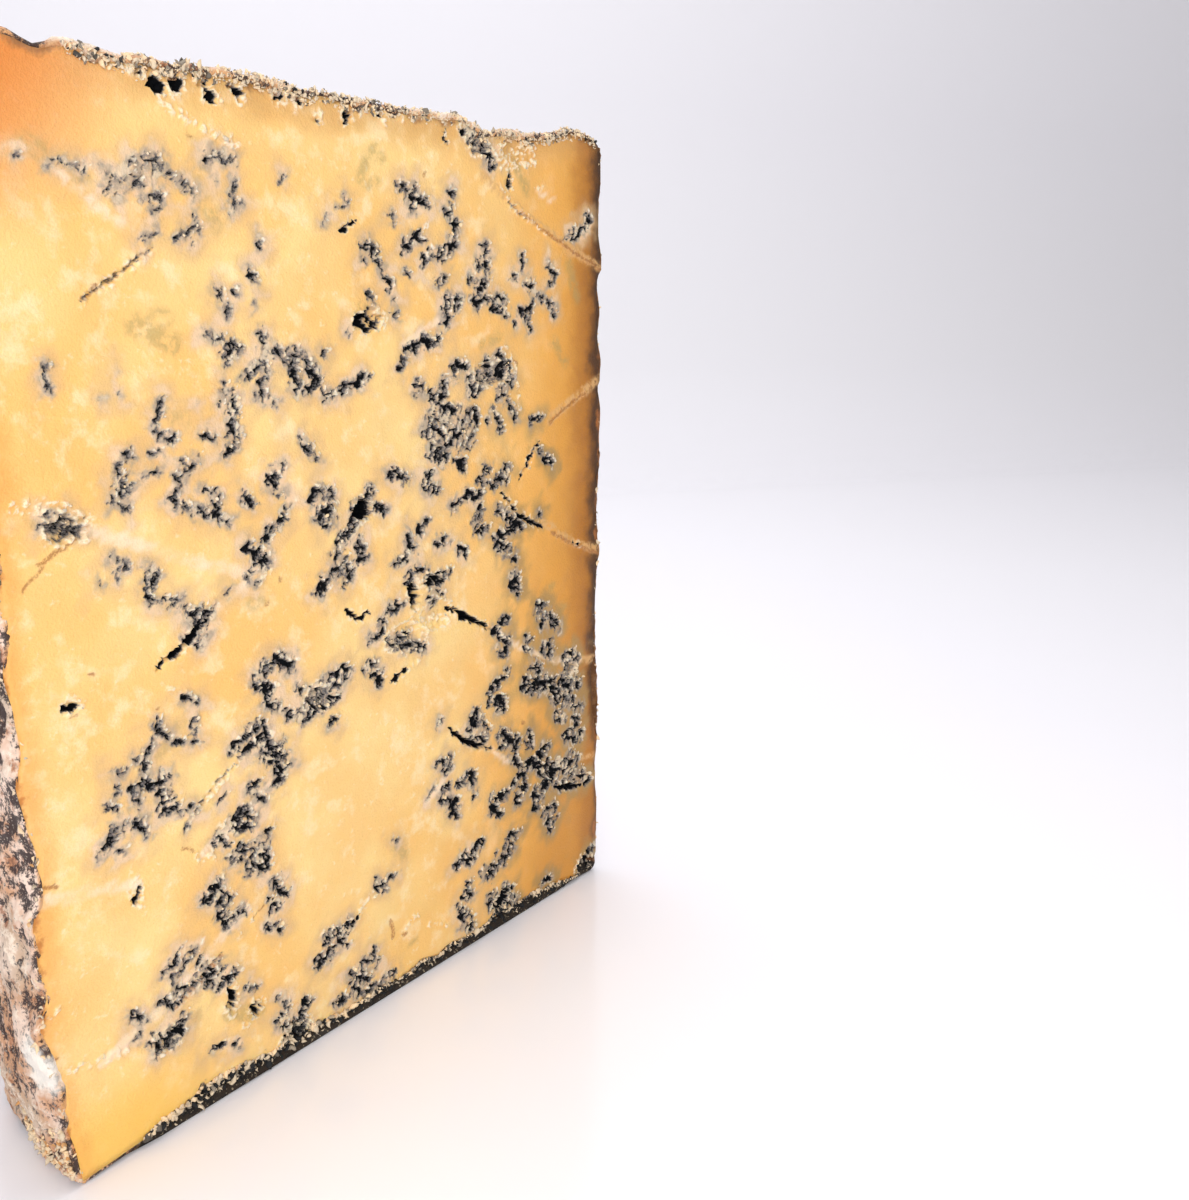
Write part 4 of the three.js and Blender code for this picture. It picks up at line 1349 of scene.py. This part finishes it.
# Curd crumbs lie on torn lips beside the mould and on the rims of openings: of places
# drawn all over the face, each is kept as often as the lip and the rim there say.
CRUMB_TRIES, CRUMB_SIZE = 90000, 0.27
CRUMB_RINGS, CRUMB_AROUND = 2, 5
draw = np.random.default_rng(1)
x, z = draw.uniform(-98, 98, CRUMB_TRIES), draw.uniform(3, 239, CRUMB_TRIES)
_, found = face_relief(x, z)
chance = 0.30 * found["lip_and_highlight"] ** 2 + 0.12 * found["rim"] ** 2 * (found["lining"] < 0.3)
keep = draw.uniform(size=CRUMB_TRIES) < chance
x, z = x[keep], z[keep]
y, _ = face_relief(x, z)
size = draw.lognormal(math.log(CRUMB_SIZE), 0.35, len(x)).clip(0.15, 0.7)
sizes = size[:, None] * draw.uniform(0.55, 1.5, (len(x), 3))
centres = np.stack([x, y - 0.25 * size, z], 1)
points, faces = crumb_mesh(centres, sizes, 0.3, 0.0, CRUMB_RINGS, CRUMB_AROUND, draw)
tone = np.repeat(draw.uniform(0, 1, len(x)), CRUMB_RINGS * CRUMB_AROUND + 2)

# Torn curd: the same paste, drier and paler, some of it dusted grey with mould.
curd, tree, shader = new_finish("torn_curd")
own_tone = add("ShaderNodeAttribute", {}, "Fac", attribute_name="tone")
colour = linear("#f3dab0")
for start, full, over in ((0.35, 0.6, "#eee0c6"), (0.65, 0.95, "#bdb5a4")):
    share = add("ShaderNodeMapRange", {"Value": own_tone, "From Min": start, "From Max": full})
    colour = add("ShaderNodeMix", {0: share, 6: colour, 7: linear(over)}, 2, data_type="RGBA")
tree.links.new(colour, shader.inputs["Base Color"])
shader.inputs["Roughness"].default_value = 0.6
shader.inputs["IOR"].default_value = 1.45
add_piece("curd_crumbs", points, faces.ravel(), np.full(len(faces), 3), curd, {"tone": tone})

# Flakes of crust curl out of the lower crust down to the table, stand along the upper one
# and down both cut edges of the rind, and heap up at the near lower corner.
FLAKES_LOW, FLAKES_HIGH, FLAKES_EDGE, FLAKES_CORNER = 1900, 1500, 260, 420
FLAKE_SIZE, FLAKE_CURL, FLAKE_RINGS, FLAKE_AROUND = 0.46, 0.6, 3, 7
CORNER_HIGH, CORNER_ROUND = 16, 0.22  # reach of the heap, in millimetres and in radians
are_low, are_high = slice(FLAKES_LOW), slice(FLAKES_LOW, FLAKES_LOW + FLAKES_HIGH)
draw = np.random.default_rng(2)
# The lower crust's: on the face where it is black, and under its edge.
x = draw.uniform(-84, 98, FLAKES_LOW)
low_top = foot_at(x, 0) + 0.6 + np.interp(x, BAND_AT, BAND_IS)
low_z = mix(0.6, low_top, draw.uniform(0, 1, FLAKES_LOW) ** 0.6)
below = low_z < foot_at(x, 0) + 0.8
low_y = np.where(below, draw.uniform(-0.2, 2.5, FLAKES_LOW), face_relief(x, low_z)[0] - 0.1)
low = np.stack([x, low_y, low_z], 1)
# The upper crust's: thickest along its edge, thinning out down the face.
x = draw.uniform(-78, 101, FLAKES_HIGH)
deep = draw.uniform(0, 1, FLAKES_HIGH)
high_z = crown_at(x, 0) + 0.35 - 3.4 * deep**1.4
high = np.stack([x, -0.1 + draw.uniform(0, 1.6, FLAKES_HIGH) * (deep < 0.25), high_z], 1)
# The cut edges', by turns on the near one and the far one, and the heap at the corner.
z = draw.uniform(3, 240, FLAKES_EDGE)
side = np.where(np.arange(FLAKES_EDGE) % 2 == 0, -1, 1)
edge_r = radius_at(np.where(side < 0, np.pi, 0.0), z)
edge_r = edge_r + ragged_at(side * edge_r, 0, z) - draw.uniform(-0.3, 1.2, FLAKES_EDGE)
edge = np.stack([side * edge_r, draw.uniform(-0.2, 1.2, FLAKES_EDGE), z], 1)
turn = np.pi - draw.uniform(0, CORNER_ROUND, FLAKES_CORNER)
corner_z = CORNER_HIGH * draw.uniform(0, 1, FLAKES_CORNER) ** 1.8
corner_r = radius_at(turn, corner_z) - 0.4 - FOOT_RIM * rise(2.4, 0, corner_z)
corner = np.stack([corner_r * np.cos(turn), corner_r * np.sin(turn), corner_z], 1)
centres = np.concatenate([low, high, edge, corner])
size = draw.lognormal(math.log(FLAKE_SIZE), 0.36, len(centres)).clip(0.25, 1.2)
size[are_high] *= 0.72
size[are_low] *= mix(1.2, 0.85, rise(-50, 0, centres[are_low, 0]))
sizes = size[:, None] * draw.uniform((0.9, 0.6, 0.35), (1.8, 1.1, 0.65), (len(centres), 3))
centres[:, 2] = np.maximum(centres[:, 2], 1.2 * size)
points, faces = crumb_mesh(centres, sizes, 0.22, FLAKE_CURL, FLAKE_RINGS, FLAKE_AROUND, draw)
points[:, 2] = np.maximum(points[:, 2], 0.05)
# Their tone runs from black to tan. Low down they are darker, more so on the far side, and
# below the top of the black crust darker still: partly black crust, partly painted shade
# under the edge and under the curled ones on top. Along the upper crust they are cream,
# and in the heap golden.
tone = draw.uniform(0, 1, len(centres))
# Painted shade, in part: flakes below the top of the black crust are darkened further.
low_crust_and_shade = rise(0.0, -2.0, centres[are_low, 2] - low_top)
tone[are_low] -= 0.05 + 0.18 * rise(-30, 0, centres[are_low, 0]) + 0.45 * low_crust_and_shade
tone[are_high] *= 0.74
tone[-FLAKES_CORNER:] = 0.3 + 0.7 * tone[-FLAKES_CORNER:]
tone = np.repeat(tone, FLAKE_RINGS * FLAKE_AROUND + 2)

# Flaked crust: cream and tan, dusted white, with bits of black mould.
flaked, tree, shader = new_finish("flaked_crust")
own_tone = add("ShaderNodeAttribute", {}, "Fac", attribute_name="tone")
TONES = (
    (0.02, 0.10, "#8f8577"),
    (0.14, 0.24, "#dccaae"),
    (0.50, 0.70, "#f3d7ae"),
    (0.80, 0.95, "#cd975f"),
)
colour = linear("#1b1d20")
for start, full, over in TONES:
    share = add("ShaderNodeMapRange", {"Value": own_tone, "From Min": start, "From Max": full})
    colour = add("ShaderNodeMix", {0: share, 6: colour, 7: linear(over)}, 2, data_type="RGBA")
tree.links.new(colour, shader.inputs["Base Color"])
shader.inputs["Roughness"].default_value = 0.8
shader.inputs["IOR"].default_value = 1.45
add_piece("crust_flakes", points, faces.ravel(), np.full(len(faces), 3), flaked, {"tone": tone})


# ---- The table ------------------------------------------------------------------------
# White laminate, wiped clean and faintly glossy, that curves up into a plain pale wall.

WALL_AT, CURVE, WALL_HIGH = 0.9, 0.5, 2.6  # metres
HALF_WIDE = 3.0
TURNED = math.radians(-35)  # so that the wall faces the camera
bend = np.linspace(0, np.pi / 2, 25)
sweep_y = np.concatenate([[-1.6], WALL_AT + CURVE * np.sin(bend), [WALL_AT + CURVE]])
sweep_z = np.concatenate([[0], CURVE * (1 - np.cos(bend)), [WALL_HIGH]])
sweep_x, sweep_y = np.meshgrid([-HALF_WIDE, HALF_WIDE], sweep_y)
turned_x = sweep_x * math.cos(TURNED) - sweep_y * math.sin(TURNED)
turned_y = sweep_x * math.sin(TURNED) + sweep_y * math.cos(TURNED)
points = np.stack([turned_x, turned_y, np.repeat(sweep_z[:, None], 2, 1)], 2).reshape(-1, 3)
strip = np.arange(len(points)).reshape(-1, 2)
faces = np.stack([strip[:-1, 0], strip[:-1, 1], strip[1:, 1], strip[1:, 0]], 1)
mesh = bpy.data.meshes.new("table")
mesh.from_pydata(points.tolist(), [], faces.tolist())
mesh.polygons.foreach_set("use_smooth", np.ones(len(faces), bool))
laminate, _, shader = new_finish("white_laminate")
shader.inputs["Base Color"].default_value = linear("#f1f0f6")
shader.inputs["Roughness"].default_value = 0.16
shader.inputs["IOR"].default_value = 1.6
mesh.materials.append(laminate)
table = bpy.data.objects.new("table", mesh)
bpy.context.scene.collection.objects.link(table)


# ---- The light and the camera ---------------------------------------------------------
# Broad daylight from the camera's left, close to the near edge, so the face darkens a
# little towards its far edge, and soft white light from all round.


def soft_light(name, where, aim, size, power, colour):
    """A square soft light that faces a point."""
    light = bpy.data.lights.new(name, "AREA")
    light.size, light.energy, light.color = size, power, linear(colour)[:3]
    lamp = bpy.data.objects.new(name, light)
    toward = np.array(aim, float) - np.array(where, float)
    lamp.location = where
    lamp.rotation_euler = (
        math.atan2(math.hypot(toward[0], toward[1]), -toward[2]),
        0,
        math.atan2(-toward[0], toward[1]),
    )
    bpy.context.scene.collection.objects.link(lamp)


soft_light("window", (-0.55, -0.55, 0.36), (-0.06, -0.05, 0.11), 0.45, 3.9, "#fffaf6")
soft_light("ceiling", (0.1, 0.2, 1.3), (0.0, 0.1, 0.0), 1.0, 8.5, "#ffffff")
soft_light("wall_wash", (0.5, 0.0, 1.6), (1.0, 1.4, 0.6), 0.9, 8.0, "#ffffff")

world = bpy.data.worlds.new("studio")
world.use_nodes = True
backdrop = world.node_tree.nodes["Background"]
backdrop.inputs["Color"].default_value = linear("#fffdfc")
backdrop.inputs["Strength"].default_value = 0.54
bpy.context.scene.world = world
bpy.context.scene.view_settings.view_transform = "Standard"

# The camera stands where the photograph's perspective puts it, in the wheel's millimetres.
CAMERA_AT = np.array([-224.9, -230.1, 188.8])
CAMERA_TURN, CAMERA_DIP = -54.714, 12.933  # degrees from square to the cut, and below level
lens = bpy.data.cameras.new("camera")
lens.sensor_fit = "AUTO"
lens.sensor_width = 36.0
lens.lens = 36.45
lens.clip_start = 0.01
camera = bpy.data.objects.new("camera", lens)
camera.location = 0.001 * (CAMERA_AT + np.array([AXIS_X, FACE_Y, 0.0]))
camera.rotation_euler = (math.radians(90 - CAMERA_DIP), 0, math.radians(CAMERA_TURN))
bpy.context.scene.collection.objects.link(camera)
bpy.context.scene.camera = camera
